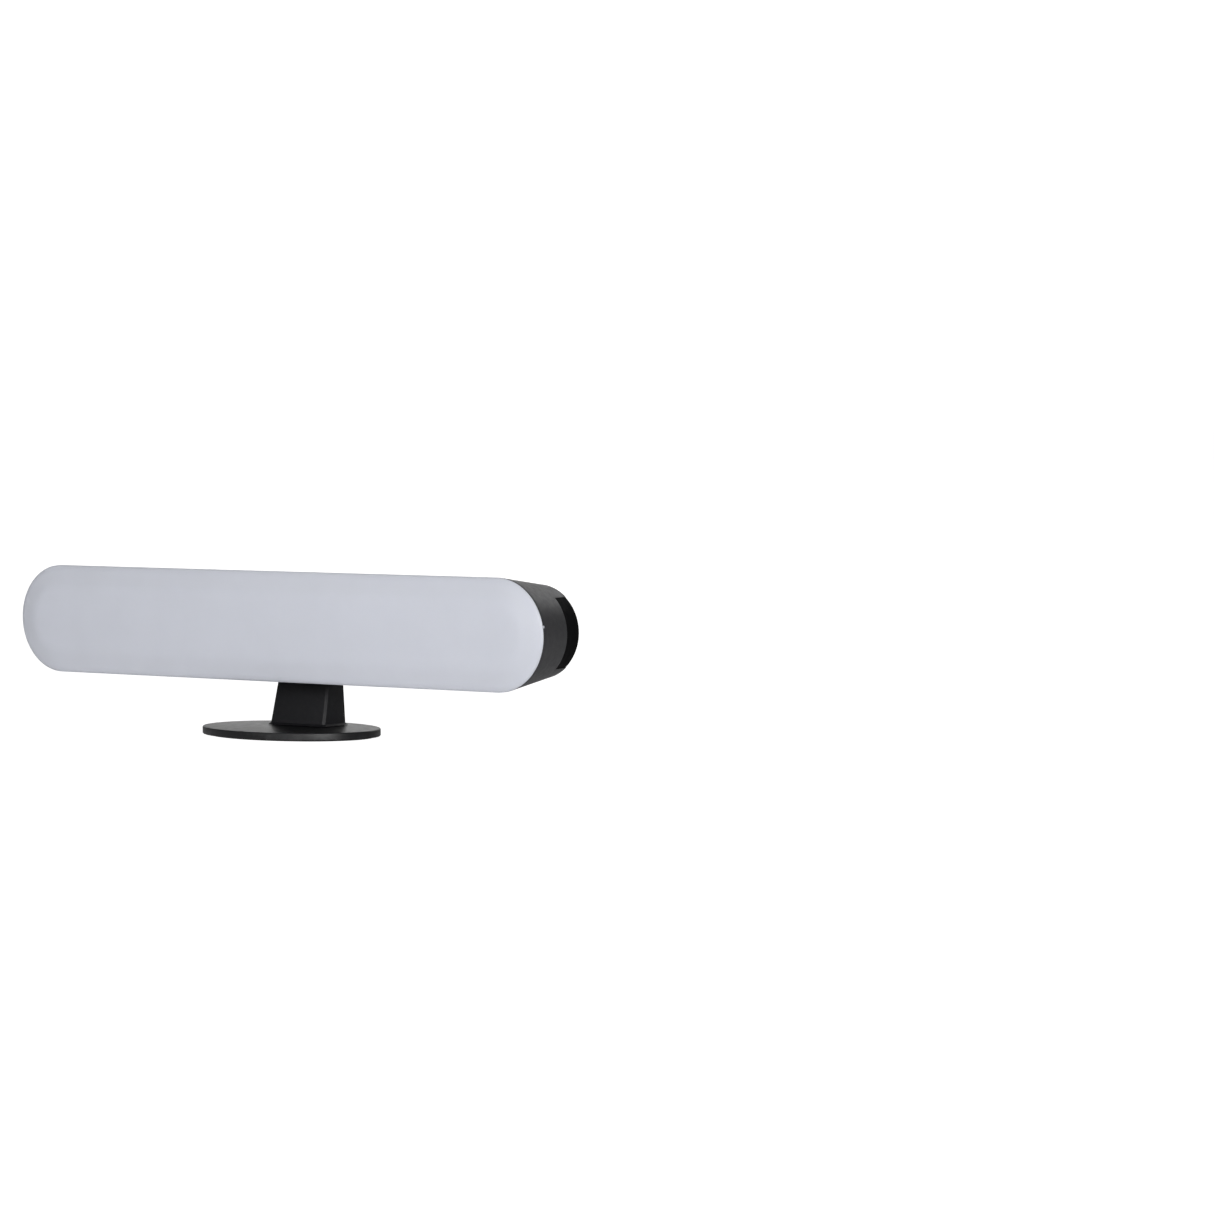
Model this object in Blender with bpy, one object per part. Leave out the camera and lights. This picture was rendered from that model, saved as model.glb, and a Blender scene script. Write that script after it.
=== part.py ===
"""A short LED light bar with an opal front, standing on a low plug-on stand.

Frame: +X runs along the bar, +Z is up and the bar shines towards -Y. The origin is the centre of the
oval base, at the level of the desk. Lengths are in metres. The shapes of the bar are drawn in its own
frame: X along it, Y as the depth behind its front face, and Z from its middle height.
"""

import math

import bmesh
import bpy
from mathutils import Matrix, Vector

GAP = 0.0003

# How far a cutter runs past the face it opens: through a plate, and out of the side of the bar
CUT_OVER = 0.001
CUT_PAST = 0.005

# Bar
BAR_LENGTH = 0.300
BAR_HEIGHT = 0.049
BAR_DEPTH = 0.0365
BAR_MIDDLE_Z = 0.0492
BAR_FRONT_Y = -0.0162
END_STEPS = 18

# Diffuser
PILLOW_INSET = 0.007
PILLOW_DEPTH = 0.0024
PILLOW_STEPS = 6
DIFFUSER_EDGE = 0.00315
DIFFUSER_WALL = 0.0018
SKIRT_END = 0.0082
SKIRT_WALL = 0.0013
INNER_CORNER = 0.0013
INNER_CORNER_DEPTH = 0.0005
INNER_CORNER_REACH = 0.0040

# Housing
HOUSING_FRONT = DIFFUSER_EDGE + GAP
HOUSING_WALL = 0.0013
REAR_INSET = 0.0046
REAR_ROUND = 0.0034
ROUND_STEPS = 6
HOUSING_ROUND_END = math.radians(41)
NOTCH_WIDTH = 0.0305
END_NOTCH_FRONT = 0.0237
END_NOTCH_REACH = 0.012
STAND_NOTCH_FRONT = 0.0245
STAND_NOTCH_REACH = 0.008
BOSS_X = 0.104
BOSS_Z = 0.0125
BOSS_RADIUS = 0.0028
BOSS_FRONT = 0.0212
BOSS_REAR = 0.0338
BOSS_STEPS = 14
BOSS_HOLE_FRONT = 0.0232
RIB_HALF_WIDTH = 0.0008
RIB_OVERLAP = 0.0018

# Rear cover
COVER_FRONT = 0.0341
COVER_REAR = BAR_DEPTH
COVER_EDGE_GAP = 0.0005
COVER_ROUND_START = math.radians(49)
SINK_DEPTH = 0.0014
SEAT_WALL = 0.0014
SEAT_FRONT = 0.0222
SEAT_OVERLAP = 0.0017
END_SEAT_ANGLE = math.radians(56)
END_SEAT_STEPS = 12
CHEEK_RECESS = 0.0002
CHEEK_WALL = 0.0020
CHEEK_ROUND_END = math.radians(60)
STAND_GAP_Z = -0.0181
STAND_GAP_FRONT = 0.0335
SOCKET_TOP_Z = 0.0410
SOCKET_WALL = 0.0015
SOCKET_OVER_SEAT = 0.006
TRAY_POST_X = 0.132
TRAY_POST_HOLE = 0.008
POST_RADIUS = 0.0028
BOARD_POST_RADIUS = 0.0023
HOLE_STEPS = 12

# How deep the seats, the socket and the posts run into the cover's plate: no two end in one plane
SEAT_ROOT = 0.0006
SOCKET_ROOT = 0.0009
POST_ROOT = 0.0012

# Reflector tray and light board
TRAY_FRONT = 0.0086
TRAY_WALL = 0.0012
TRAY_RIM_INSET = 0.0025
TRAY_FLOOR_INSET = 0.0115
TRAY_FLOOR = 0.0175
TRAY_REAR = TRAY_FLOOR + TRAY_WALL
TRAY_REAR_INSET = TRAY_FLOOR_INSET - 0.0006
LED_BOARD_LENGTH = 0.252
LED_BOARD_WIDTH = 0.014
LED_BOARD_THICKNESS = 0.001
LED_COUNT = 12
LED_PITCH = 0.021
LED_SIDE = 0.005
LED_HEIGHT = 0.0015
LED_CUP_DEPTH = 0.0004
LED_CUP_FLOOR = 0.0016
LED_CUP_RIM = 0.0021
LED_BOARD_SCREW_X = (-0.084, 0.0, 0.084)
LED_CONNECTOR_X = -0.112
LED_CONNECTOR_SIZE = (0.0070, 0.0046, 0.0060)
CONNECTOR_CLEARANCE = 0.0006
CONNECTOR_CHAMFER = 0.0004

# Control board
CONTROL_X = -0.072
CONTROL_LENGTH = 0.048
CONTROL_WIDTH = 0.024
CONTROL_THICKNESS = 0.0012
CONTROL_FRONT = 0.0296
CONTROL_SCREWS = ((-0.0205, 0.0085), (0.0205, -0.0085))
COMPONENT_CHAMFER = 0.0005
PLUG_HEIGHT = 0.005
POWER_PLUG_PLACE = (0.0125, -0.0055)
LED_PLUG_PLACE = (-0.0140, -0.0050)
CAPACITOR_PLACE = (-0.0075, 0.0055)

# Power inlet
INLET_X = 0.072
INLET_WIDTH = 0.009
INLET_HEIGHT = 0.011
INLET_FRONT = 0.0248
INLET_BORE_RADIUS = 0.0031
INLET_BORE_DEPTH = 0.0085
INLET_FLANGE = 0.0013
INLET_FLANGE_THICKNESS = 0.0015
INLET_PIN_RADIUS = 0.001
INLET_PIN_FRONT = 0.0236
INLET_PIN_REAR = 0.0355
INLET_PIN_TAPER = 0.0005

# Leads
LEAD_RADIUS = 0.0006
LEAD_SPACING = 0.0018
LEAD_GAP = 0.0007
LEAD_RUN_DEPTH = TRAY_REAR + 0.0030
LEAD_BEND = 0.003
LEAD_LANDING = 0.020
GROUND_LEAD_Z = -0.0038
LED_LEAD_MIDDLE = 0.013
LED_LEAD_RISE = 0.0023
LED_LEAD_DIP = 0.0014

# Stand
BASE_HALF_LENGTH = 0.0446
BASE_HALF_DEPTH = 0.0310
BASE_TOP = 0.0038
BASE_UNDERSIDE = 0.0005
BASE_STEPS = 56
BASE_ROUND = 0.0005
BASE_CHAMFER = 0.0003
POCKET_INSET = 0.0023
POCKET_TOP = 0.0023
BALLAST_GAP = 0.0008
BALLAST_BOTTOM = 0.0009
PAD_TOP = 0.0006
COLUMN_BOTTOM = BASE_TOP + GAP
COLUMN_TOP = 0.0289
COLUMN_TOP_SLOPE = 0.132
COLUMN_HALF_WIDTHS = (0.0158, 0.0146)
COLUMN_FRONTS = (0.0036, 0.0094)
COLUMN_REARS = (0.0199, 0.0195)
COLUMN_CORNER = 0.0013
COLUMN_CORNER_STEPS = 3
COLUMN_FLARE = 0.0008
COLUMN_FLARE_HEIGHT = 0.0009
COLUMN_SCREW_X = 0.009
COLUMN_SCREW_Y = 0.0118
TONGUE_HALF_WIDTH = 0.010
TONGUE_FRONT_Y = 0.0115
TONGUE_REAR_Y = 0.0175
TONGUE_TOP = 0.0384
TONGUE_ROOT = 0.004
COLUMN_HOLE_TOP = 0.0150

# Screws, small and for the column: radii of the shank, of the hole that clears it and of the head
SMALL_SHANK = 0.001
SMALL_HOLE = SMALL_SHANK + GAP
SMALL_HEAD = 0.0019
SMALL_HEAD_PROFILE = ((SMALL_HEAD, 0.0), (SMALL_HEAD, 0.0006), (SMALL_HEAD - 0.0005, 0.0011))
SHORT_SCREW = 0.0042
LONG_SCREW = 0.0085
COLUMN_SHANK = 0.0015
COLUMN_HOLE = COLUMN_SHANK + GAP
COLUMN_HEAD = 0.0028
COLUMN_HEAD_PROFILE = ((COLUMN_HEAD, 0.0), (COLUMN_HEAD, 0.0008), (COLUMN_HEAD - 0.0004, 0.0011))
COLUMN_SCREW = 0.0118
SCREW_STEPS = 14

# A screw's blunt tip and cross recess, as parts of its shank's radius (the reach: of its head's top)
SCREW_TIP = 0.4
RECESS_REACH = 0.7
RECESS_HALF_WIDTH = 0.22
RECESS_DEPTH = 0.6

FACE_FRONT = Matrix.Rotation(math.radians(90), 4, "X")
FACE_REAR = Matrix.Rotation(math.radians(-90), 4, "X")
FACE_DOWN = Matrix.Rotation(math.radians(180), 4, "X")


def clear_scene():
    for obj in list(bpy.data.objects):
        bpy.data.objects.remove(obj, do_unlink=True)


def new_material(name, colour, roughness, metallic=0.0):
    material = bpy.data.materials.new(name)
    material.use_nodes = True
    shader = material.node_tree.nodes["Principled BSDF"]
    shader.inputs["Base Color"].default_value = (*colour, 1.0)
    shader.inputs["Roughness"].default_value = roughness
    shader.inputs["Metallic"].default_value = metallic
    material.diffuse_color = (*colour, 1.0)
    return material


# Meshes


def mesh_from(bm, name):
    bmesh.ops.recalc_face_normals(bm, faces=bm.faces)
    for face in bm.faces:
        face.smooth = True
    mesh = bpy.data.meshes.new(name)
    bm.to_mesh(mesh)
    bm.free()
    mesh.set_sharp_from_angle(angle=math.radians(32))
    return mesh


def skin(name, rings, looped=False):
    """A closed mesh through rings of equal point counts: capped at both ends, or joined end to end."""
    bm = bmesh.new()
    loops = [[bm.verts.new(point) for point in ring] for ring in rings]
    pairs = list(zip(loops, loops[1:]))
    if looped:
        pairs.append((loops[-1], loops[0]))
    else:
        bm.faces.new(loops[0])
        bm.faces.new(loops[-1])
    for first, second in pairs:
        for i in range(len(first)):
            j = (i + 1) % len(first)
            bm.faces.new((first[i], first[j], second[j], second[i]))
    return mesh_from(bm, name)


def stadium(inset, depth):
    """The bar's outline, drawn in by the inset, at a depth behind the front face."""
    radius = BAR_HEIGHT / 2 - inset
    straight = (BAR_LENGTH - BAR_HEIGHT) / 2
    ring = []
    for side in (1, -1):
        for step in range(END_STEPS + 1):
            angle = math.pi * (step / END_STEPS - 0.5)
            x = side * (straight + radius * math.cos(angle))
            ring.append((x, depth, side * radius * math.sin(angle)))
    return ring


def circle(radius, z, steps):
    angles = [2 * math.pi * i / steps for i in range(steps)]
    return [(radius * math.cos(a), radius * math.sin(a), z) for a in angles]


def lathe(name, profile, steps=16):
    """A turned solid about Z from (radius, z) pairs."""
    return skin(name, [circle(radius, z, steps) for radius, z in profile])


def ellipse(inset, z):
    ring = []
    for i in range(BASE_STEPS):
        angle = 2 * math.pi * i / BASE_STEPS
        x = (BASE_HALF_LENGTH - inset) * math.cos(angle)
        ring.append((x, (BASE_HALF_DEPTH - inset) * math.sin(angle), z))
    return ring


def box(name, low, high):
    size = [b - a for a, b in zip(low, high)]
    middle = [(a + b) / 2 for a, b in zip(low, high)]
    bm = bmesh.new()
    matrix = Matrix.Translation(middle) @ Matrix.Diagonal((*size, 1.0))
    bmesh.ops.create_cube(bm, size=1.0, matrix=matrix)
    return mesh_from(bm, name)


def drum(name, x, z, radius, front, rear, steps=16):
    """A cylinder along Y in the bar's frame."""
    mesh = lathe(name, [(radius, 0.0), (radius, rear - front)], steps)
    mesh.transform(Matrix.Translation((x, front, z)) @ FACE_REAR)
    return mesh


# Objects


def add(name, mesh, material, parent, world=(0.0, 0.0, 0.0)):
    """An object from a mesh, parented to an empty or to another object and placed at a world location."""
    obj = bpy.data.objects.new(name, mesh)
    bpy.context.scene.collection.objects.link(obj)
    if material and not mesh.materials:
        mesh.materials.append(material)
    obj.parent = parent
    obj.location = Vector(world) - (parent.location if parent else Vector())
    return obj


def add_empty(name, location):
    empty = bpy.data.objects.new(name, None)
    bpy.context.scene.collection.objects.link(empty)
    empty.location = location
    return empty


def combine(target, mesh, operation):
    """Joins, cuts or intersects the target with a mesh that is drawn in the target's own frame."""
    helper = bpy.data.objects.new(mesh.name, mesh)
    bpy.context.scene.collection.objects.link(helper)
    helper.parent = target
    helper.hide_render = True
    helper.display_type = "WIRE"
    modifier = target.modifiers.new(mesh.name, "BOOLEAN")
    modifier.operation = operation
    modifier.object = helper


def cut(target, mesh):
    combine(target, mesh, "DIFFERENCE")


def join(target, mesh):
    combine(target, mesh, "UNION")


def chamfer(obj, width, segments=1):
    modifier = obj.modifiers.new("Edges", "BEVEL")
    modifier.width = width
    modifier.segments = segments
    modifier.limit_method = "ANGLE"
    modifier.angle_limit = math.radians(40)


# Bar


def housing_inset(depth):
    """How far the housing's outside has drawn in at a depth."""
    return REAR_INSET * (depth - HOUSING_FRONT) / (BAR_DEPTH - HOUSING_FRONT)


def make_diffuser(material, head, bar):
    rings = []
    for step in range(PILLOW_STEPS + 1):
        angle = step / PILLOW_STEPS * math.pi / 2
        inset = PILLOW_INSET * (1 - math.sin(angle))
        rings.append(stadium(inset, PILLOW_DEPTH * (1 - math.cos(angle))))
    rings.append(stadium(0.0, DIFFUSER_EDGE))
    skirt_gap = HOUSING_WALL + GAP
    rings.append(stadium(skirt_gap, DIFFUSER_EDGE))
    rings.append(stadium(skirt_gap + housing_inset(SKIRT_END), SKIRT_END))
    inner = skirt_gap + housing_inset(SKIRT_END) + SKIRT_WALL
    rings.append(stadium(inner, SKIRT_END))
    rings.append(stadium(inner, DIFFUSER_EDGE))
    rings.append(stadium(inner + INNER_CORNER, DIFFUSER_WALL + INNER_CORNER_DEPTH))
    rings.append(stadium(inner + INNER_CORNER_REACH, DIFFUSER_WALL))
    add("diffuser", skin("diffuser", rings), material, head, bar)


def rear_round(start, end, radius=REAR_ROUND, steps=ROUND_STEPS):
    """Insets and depths around the bar's rounded rear edge, from one angle of it to another."""
    first_inset = housing_inset(BAR_DEPTH - REAR_ROUND) + REAR_ROUND
    for step in range(steps + 1):
        angle = start + (end - start) * step / steps
        yield first_inset - radius * math.cos(angle), BAR_DEPTH - REAR_ROUND + radius * math.sin(angle)


def make_housing(material, head, bar):
    rings = [stadium(0.0, HOUSING_FRONT)]
    rings += [stadium(*point) for point in rear_round(0.0, HOUSING_ROUND_END)]
    rear = BAR_DEPTH - REAR_ROUND + REAR_ROUND * math.sin(HOUSING_ROUND_END)
    rings.append(stadium(housing_inset(rear) + HOUSING_WALL, rear))
    rings.append(stadium(HOUSING_WALL, HOUSING_FRONT))
    housing = add("housing", skin("housing", rings, looped=True), material, head, bar)
    half = NOTCH_WIDTH / 2
    rear = BAR_DEPTH + CUT_PAST
    end = BAR_LENGTH / 2
    low = (end - END_NOTCH_REACH, END_NOTCH_FRONT, -half)
    cut(housing, box("end_notch", low, (end + CUT_PAST, rear, half)))
    bottom = -BAR_HEIGHT / 2
    low = (-half, STAND_NOTCH_FRONT, bottom - CUT_PAST)
    cut(housing, box("stand_notch", low, (half, rear, bottom + STAND_NOTCH_REACH)))
    for side_x in (-1, 1):
        for side_z in (-1, 1):
            make_boss(housing, side_x * BOSS_X, side_z)


def make_boss(housing, x, side_z):
    """A screw boss behind the reflector tray, tied by a rib to the housing's wall above or below it."""
    z = side_z * BOSS_Z
    join(housing, drum("cover_boss", x, z, BOSS_RADIUS, BOSS_FRONT, BOSS_REAR, BOSS_STEPS))
    wall_z = BAR_HEIGHT / 2 - housing_inset(BOSS_FRONT) - HOUSING_WALL / 2
    low_z, high_z = sorted((side_z * (BOSS_Z + RIB_OVERLAP), side_z * (wall_z - RIB_OVERLAP)))
    low = (x - RIB_HALF_WIDTH, BOSS_FRONT + CUT_OVER, low_z)
    join(housing, box("boss_rib", low, (x + RIB_HALF_WIDTH, BOSS_REAR - CUT_OVER, high_z)))
    depths = (BOSS_HOLE_FRONT, BOSS_REAR + CUT_OVER)
    cut(housing, drum("boss_hole", x, z, SMALL_HOLE, *depths, HOLE_STEPS))


def seat_depths():
    """Front and rear depths of the seat walls, each with its outer and inner distance from the middle."""
    for depth in (SEAT_FRONT, COVER_FRONT + SEAT_ROOT):
        outside = BAR_HEIGHT / 2 - housing_inset(depth) - HOUSING_WALL - GAP
        yield depth, outside, outside - SEAT_WALL


def end_seat():
    """The curved inner wall that closes the notch at the bar's right end."""
    straight = (BAR_LENGTH - BAR_HEIGHT) / 2
    angles = [END_SEAT_ANGLE * (2 * i / END_SEAT_STEPS - 1) for i in range(END_SEAT_STEPS + 1)]
    rings = []
    for depth, outside, inside in seat_depths():
        ring = [(straight + outside * math.cos(a), depth, outside * math.sin(a)) for a in angles]
        ring += [(straight + inside * math.cos(a), depth, inside * math.sin(a)) for a in reversed(angles)]
        rings.append(ring)
    return skin("end_seat", rings)


def end_cheek():
    """The part of the cover that fills the notch in the housing's right end, just below its surface."""
    front = END_NOTCH_FRONT + GAP
    outer = [(housing_inset(front) + CHEEK_RECESS, front)]
    outer += rear_round(0.0, CHEEK_ROUND_END, REAR_ROUND - CHEEK_RECESS)
    inner = [(housing_inset(front) + CHEEK_RECESS + CHEEK_WALL, front)]
    rear_inset, rear = outer[-1]
    inner.append((rear_inset + CHEEK_WALL, rear))
    rings = [stadium(*point) for point in (*outer, *reversed(inner))]
    cheek = add("end_cheek", skin("end_cheek", rings, looped=True), None, None)
    half = NOTCH_WIDTH / 2 - GAP
    low = (BAR_LENGTH / 2 - END_NOTCH_REACH + GAP, front - CUT_OVER, -half)
    block = box("cheek_block", low, (BAR_LENGTH / 2 + CUT_PAST, BAR_DEPTH + CUT_PAST, half))
    return carved(cheek, [block], "INTERSECT")


def bottom_seat():
    """The flat inner wall that closes the notch under the bar's middle."""
    half = NOTCH_WIDTH / 2 + SEAT_OVERLAP
    rings = []
    for depth, outside, inside in seat_depths():
        corners = ((-half, outside), (half, outside), (half, inside), (-half, inside))
        rings.append([(x, depth, -distance) for x, distance in corners])
    return skin("bottom_seat", rings)


def make_rear_cover(material, head, bar):
    edge = list(rear_round(COVER_ROUND_START, math.pi / 2))
    spigot = housing_inset(BAR_DEPTH) + HOUSING_WALL + COVER_EDGE_GAP
    rings = [stadium(spigot, COVER_FRONT), stadium(spigot, edge[0][1])]
    rings += [stadium(*point) for point in edge]
    cover = add("rear_cover", skin("rear_cover", rings), material, head, bar)
    join(cover, end_seat())
    join(cover, end_cheek())
    join(cover, bottom_seat())
    make_socket(cover, bar)
    make_cover_posts(cover)
    through = (COVER_FRONT - CUT_OVER, COVER_REAR + CUT_OVER)
    sink = (COVER_REAR - SINK_DEPTH, COVER_REAR + CUT_OVER)
    for side_x in (-1, 1):
        for side_z in (-1, 1):
            x, z = side_x * BOSS_X, side_z * BOSS_Z
            cut(cover, drum("cover_hole", x, z, SMALL_HOLE, *through, HOLE_STEPS))
            cut(cover, drum("cover_sink", x, z, SMALL_HEAD + GAP, *sink))
    width, height = INLET_WIDTH / 2 + GAP, INLET_HEIGHT / 2 + GAP
    low = (INLET_X - width, through[0], -height)
    cut(cover, box("inlet_hole", low, (INLET_X + width, through[1], height)))
    half = NOTCH_WIDTH / 2
    low = (-half, STAND_GAP_FRONT, -BAR_HEIGHT / 2 - CUT_PAST)
    cut(cover, box("stand_gap", low, (half, BAR_DEPTH + CUT_PAST, STAND_GAP_Z)))


def make_cover_posts(cover):
    """Two long posts in front of the cover's plate for the tray, and two short ones for the board."""
    root = COVER_FRONT + POST_ROOT
    for x in (-TRAY_POST_X, TRAY_POST_X):
        join(cover, drum("tray_post", x, 0.0, POST_RADIUS, TRAY_REAR + GAP, root))
        pilot = (TRAY_REAR, TRAY_REAR + TRAY_POST_HOLE)
        cut(cover, drum("tray_post_hole", x, 0.0, SMALL_HOLE, *pilot, HOLE_STEPS))
    front = CONTROL_FRONT + CONTROL_THICKNESS + GAP
    for offset, z in CONTROL_SCREWS:
        x = CONTROL_X + offset
        join(cover, drum("board_post", x, z, BOARD_POST_RADIUS, front, root, BOSS_STEPS))
        pilot = (front - CUT_OVER, COVER_FRONT + CUT_OVER)
        cut(cover, drum("board_post_hole", x, z, SMALL_HOLE, *pilot, HOLE_STEPS))


def make_socket(cover, bar):
    """The pocket above the bottom seat that takes the stand's tongue."""
    x = TONGUE_HALF_WIDTH + GAP
    front = TONGUE_FRONT_Y - GAP - bar[1]
    rear = TONGUE_REAR_Y + GAP - bar[1]
    top = SOCKET_TOP_Z - bar[2]
    bottom = -BAR_HEIGHT / 2
    low = (-x - SOCKET_WALL, front - SOCKET_WALL, bottom + SOCKET_OVER_SEAT)
    join(cover, box("socket", low, (x + SOCKET_WALL, COVER_FRONT + SOCKET_ROOT, top)))
    low = (-x, front, bottom - CUT_OVER)
    cut(cover, box("socket_hole", low, (x, rear, top - SOCKET_WALL)))


def make_reflector_tray(material, head, bar):
    """A white dish with a narrow rim, whose flat floor carries the light board."""
    rings = [
        stadium(TRAY_FLOOR_INSET, TRAY_FLOOR),
        stadium(TRAY_RIM_INSET + TRAY_WALL, TRAY_FRONT),
        stadium(TRAY_RIM_INSET, TRAY_FRONT),
        stadium(TRAY_RIM_INSET, TRAY_FRONT + TRAY_WALL),
        stadium(TRAY_REAR_INSET, TRAY_REAR),
    ]
    tray = add("reflector_tray", skin("reflector_tray", rings), material, head, bar)
    through = (TRAY_FLOOR - CUT_OVER, TRAY_REAR + CUT_OVER)
    for x in (*LED_BOARD_SCREW_X, -TRAY_POST_X, TRAY_POST_X):
        cut(tray, drum("tray_hole", x, 0.0, SMALL_HOLE, *through, HOLE_STEPS))
    half_length = LED_CONNECTOR_SIZE[0] / 2 + CONNECTOR_CLEARANCE
    half_height = LED_CONNECTOR_SIZE[2] / 2 + CONNECTOR_CLEARANCE
    low = (LED_CONNECTOR_X - half_length, through[0], -half_height)
    high = (LED_CONNECTOR_X + half_length, through[1], half_height)
    cut(tray, box("connector_window", low, high))


def make_light_board(materials, head, bar):
    """The long board on the tray's floor, its emitters, and the connector behind it."""
    rear = TRAY_FLOOR - GAP
    front = rear - LED_BOARD_THICKNESS
    half_length, half_width = LED_BOARD_LENGTH / 2, LED_BOARD_WIDTH / 2
    mesh = box("led_board", (-half_length, front, -half_width), (half_length, rear, half_width))
    board = add("led_board", mesh, materials["board_white"], head, bar)
    through = (front - CUT_OVER, rear + CUT_OVER)
    for x in LED_BOARD_SCREW_X:
        cut(board, drum("led_board_hole", x, 0.0, SMALL_HOLE, *through, HOLE_STEPS))
    led = led_mesh(materials["led"])
    for i in range(LED_COUNT):
        x = (i - (LED_COUNT - 1) / 2) * LED_PITCH
        obj = add(f"led_{i + 1:02d}", led, materials["led"], head, (x, bar[1] + front - GAP, bar[2]))
        obj.rotation_euler = FACE_FRONT.to_euler()
    half = [size / 2 for size in LED_CONNECTOR_SIZE]
    mesh = box("led_board_connector", (-half[0], 0.0, -half[2]), (half[0], LED_CONNECTOR_SIZE[1], half[2]))
    place = (LED_CONNECTOR_X, bar[1] + TRAY_FLOOR, bar[2])
    connector = add("led_board_connector", mesh, materials["connector"], head, place)
    chamfer(connector, CONNECTOR_CHAMFER)


def led_mesh(material):
    """A square emitter with a round shallow cup, facing +Z."""
    half = LED_SIDE / 2
    body = add("led", box("led", (-half, -half, 0.0), (half, half, LED_HEIGHT)), material, None)
    profile = [(LED_CUP_FLOOR, LED_HEIGHT - LED_CUP_DEPTH), (LED_CUP_RIM, LED_HEIGHT + LED_CUP_DEPTH)]
    return carved(body, [lathe("led_cup", profile)])


def carved(body, cutters, operation="DIFFERENCE"):
    """The body's mesh after an operation with each cutter. The body's own object is removed."""
    for mesh in cutters:
        combine(body, mesh, operation)
    bpy.context.view_layer.update()
    graph = bpy.context.evaluated_depsgraph_get()
    mesh = bpy.data.meshes.new_from_object(body.evaluated_get(graph))
    name = body.name
    for obj in [*body.children, body]:
        bpy.data.objects.remove(obj, do_unlink=True)
    mesh.name = name
    return mesh


def make_control_board(materials, head, bar):
    """The board behind the tray that drives the emitters, with the components on its front."""
    half_length, half_width = CONTROL_LENGTH / 2, CONTROL_WIDTH / 2
    middle = (CONTROL_X, bar[1] + CONTROL_FRONT, bar[2])
    high = (half_length, CONTROL_THICKNESS, half_width)
    mesh = box("control_board", (-half_length, 0.0, -half_width), high)
    board = add("control_board", mesh, materials["board_green"], head, middle)
    through = (-CUT_OVER, CONTROL_THICKNESS + CUT_OVER)
    for x, z in CONTROL_SCREWS:
        cut(board, drum("control_hole", x, z, SMALL_HOLE, *through, HOLE_STEPS))
    for name, place, size, material in (
        ("radio_module", (0.011, 0.0045), (0.016, 0.0024, 0.012), "shield"),
        ("power_inductor", (0.000, -0.0060), (0.007, 0.004, 0.007), "ferrite"),
        ("power_connector", POWER_PLUG_PLACE, (0.006, PLUG_HEIGHT, 0.006), "connector"),
        ("led_lead_plug", LED_PLUG_PLACE, (0.007, PLUG_HEIGHT, 0.006), "connector"),
    ):
        low = (-size[0] / 2, -size[1], -size[2] / 2)
        mesh = box(name, low, (size[0] / 2, 0.0, size[2] / 2))
        world = (middle[0] + place[0], middle[1] - GAP, middle[2] + place[1])
        chamfer(add(name, mesh, materials[material], head, world), COMPONENT_CHAMFER)
    world = (middle[0] + CAPACITOR_PLACE[0], middle[1] - GAP, middle[2] + CAPACITOR_PLACE[1])
    obj = add("storage_capacitor", capacitor_mesh(), materials["capacitor"], head, world)
    obj.rotation_euler = FACE_FRONT.to_euler()


def capacitor_mesh():
    """A small can with a waist near its foot and a rounded top edge."""
    can, waist = 0.0031, 0.0028
    profile = [(0.0026, 0.0), (can, 0.0004), (can, 0.0009), (waist, 0.0012)]
    profile += [(can, 0.0015), (can, 0.0068), (0.0027, 0.0072)]
    return lathe("storage_capacitor", profile, steps=20)


def make_power_inlet(materials, head, bar):
    """A round-plug inlet that sits flush in the rear cover, with its centre pin."""
    width, height = INLET_WIDTH / 2, INLET_HEIGHT / 2
    low, high = (-width, INLET_FRONT, -height), (width, COVER_REAR, height)
    place = (INLET_X, bar[1], bar[2])
    inlet = add("power_inlet", box("power_inlet", low, high), materials["connector_black"], head, place)
    flange_rear = COVER_FRONT - GAP
    low = (-width - INLET_FLANGE, flange_rear - INLET_FLANGE_THICKNESS, -height - INLET_FLANGE)
    high = (width + INLET_FLANGE, flange_rear, height + INLET_FLANGE)
    join(inlet, box("inlet_flange", low, high))
    bore_front = COVER_REAR - INLET_BORE_DEPTH
    bore = (bore_front, COVER_REAR + CUT_OVER)
    cut(inlet, drum("inlet_bore", 0.0, 0.0, INLET_BORE_RADIUS, *bore, steps=24))
    pin_hole = (INLET_FRONT - CUT_OVER, bore_front + CUT_OVER)
    cut(inlet, drum("inlet_pin_hole", 0.0, 0.0, INLET_PIN_RADIUS + GAP, *pin_hole, HOLE_STEPS))
    length = INLET_PIN_REAR - INLET_PIN_FRONT
    profile = [
        (INLET_PIN_RADIUS, 0.0),
        (INLET_PIN_RADIUS, length - INLET_PIN_TAPER),
        (INLET_PIN_RADIUS - INLET_PIN_TAPER, length),
    ]
    pin = lathe("power_inlet_pin", profile, HOLE_STEPS)
    place = (INLET_X, bar[1] + INLET_PIN_FRONT, bar[2])
    obj = add("power_inlet_pin", pin, materials["steel"], head, place)
    obj.rotation_euler = FACE_REAR.to_euler()


def add_lead(name, points, material, head):
    """A round insulated lead along a smooth path in world space."""
    curve = bpy.data.curves.new(name, "CURVE")
    curve.dimensions = "3D"
    curve.bevel_depth = LEAD_RADIUS
    curve.bevel_resolution = 1
    curve.resolution_u = 3
    curve.use_fill_caps = True
    curve.materials.append(material)
    spline = curve.splines.new("BEZIER")
    spline.bezier_points.add(len(points) - 1)
    for knot, point in zip(spline.bezier_points, points):
        knot.co = Vector(point) - head.location
        knot.handle_left_type = "AUTO"
        knot.handle_right_type = "AUTO"
    obj = bpy.data.objects.new(name, curve)
    bpy.context.scene.collection.objects.link(obj)
    obj.parent = head


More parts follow.
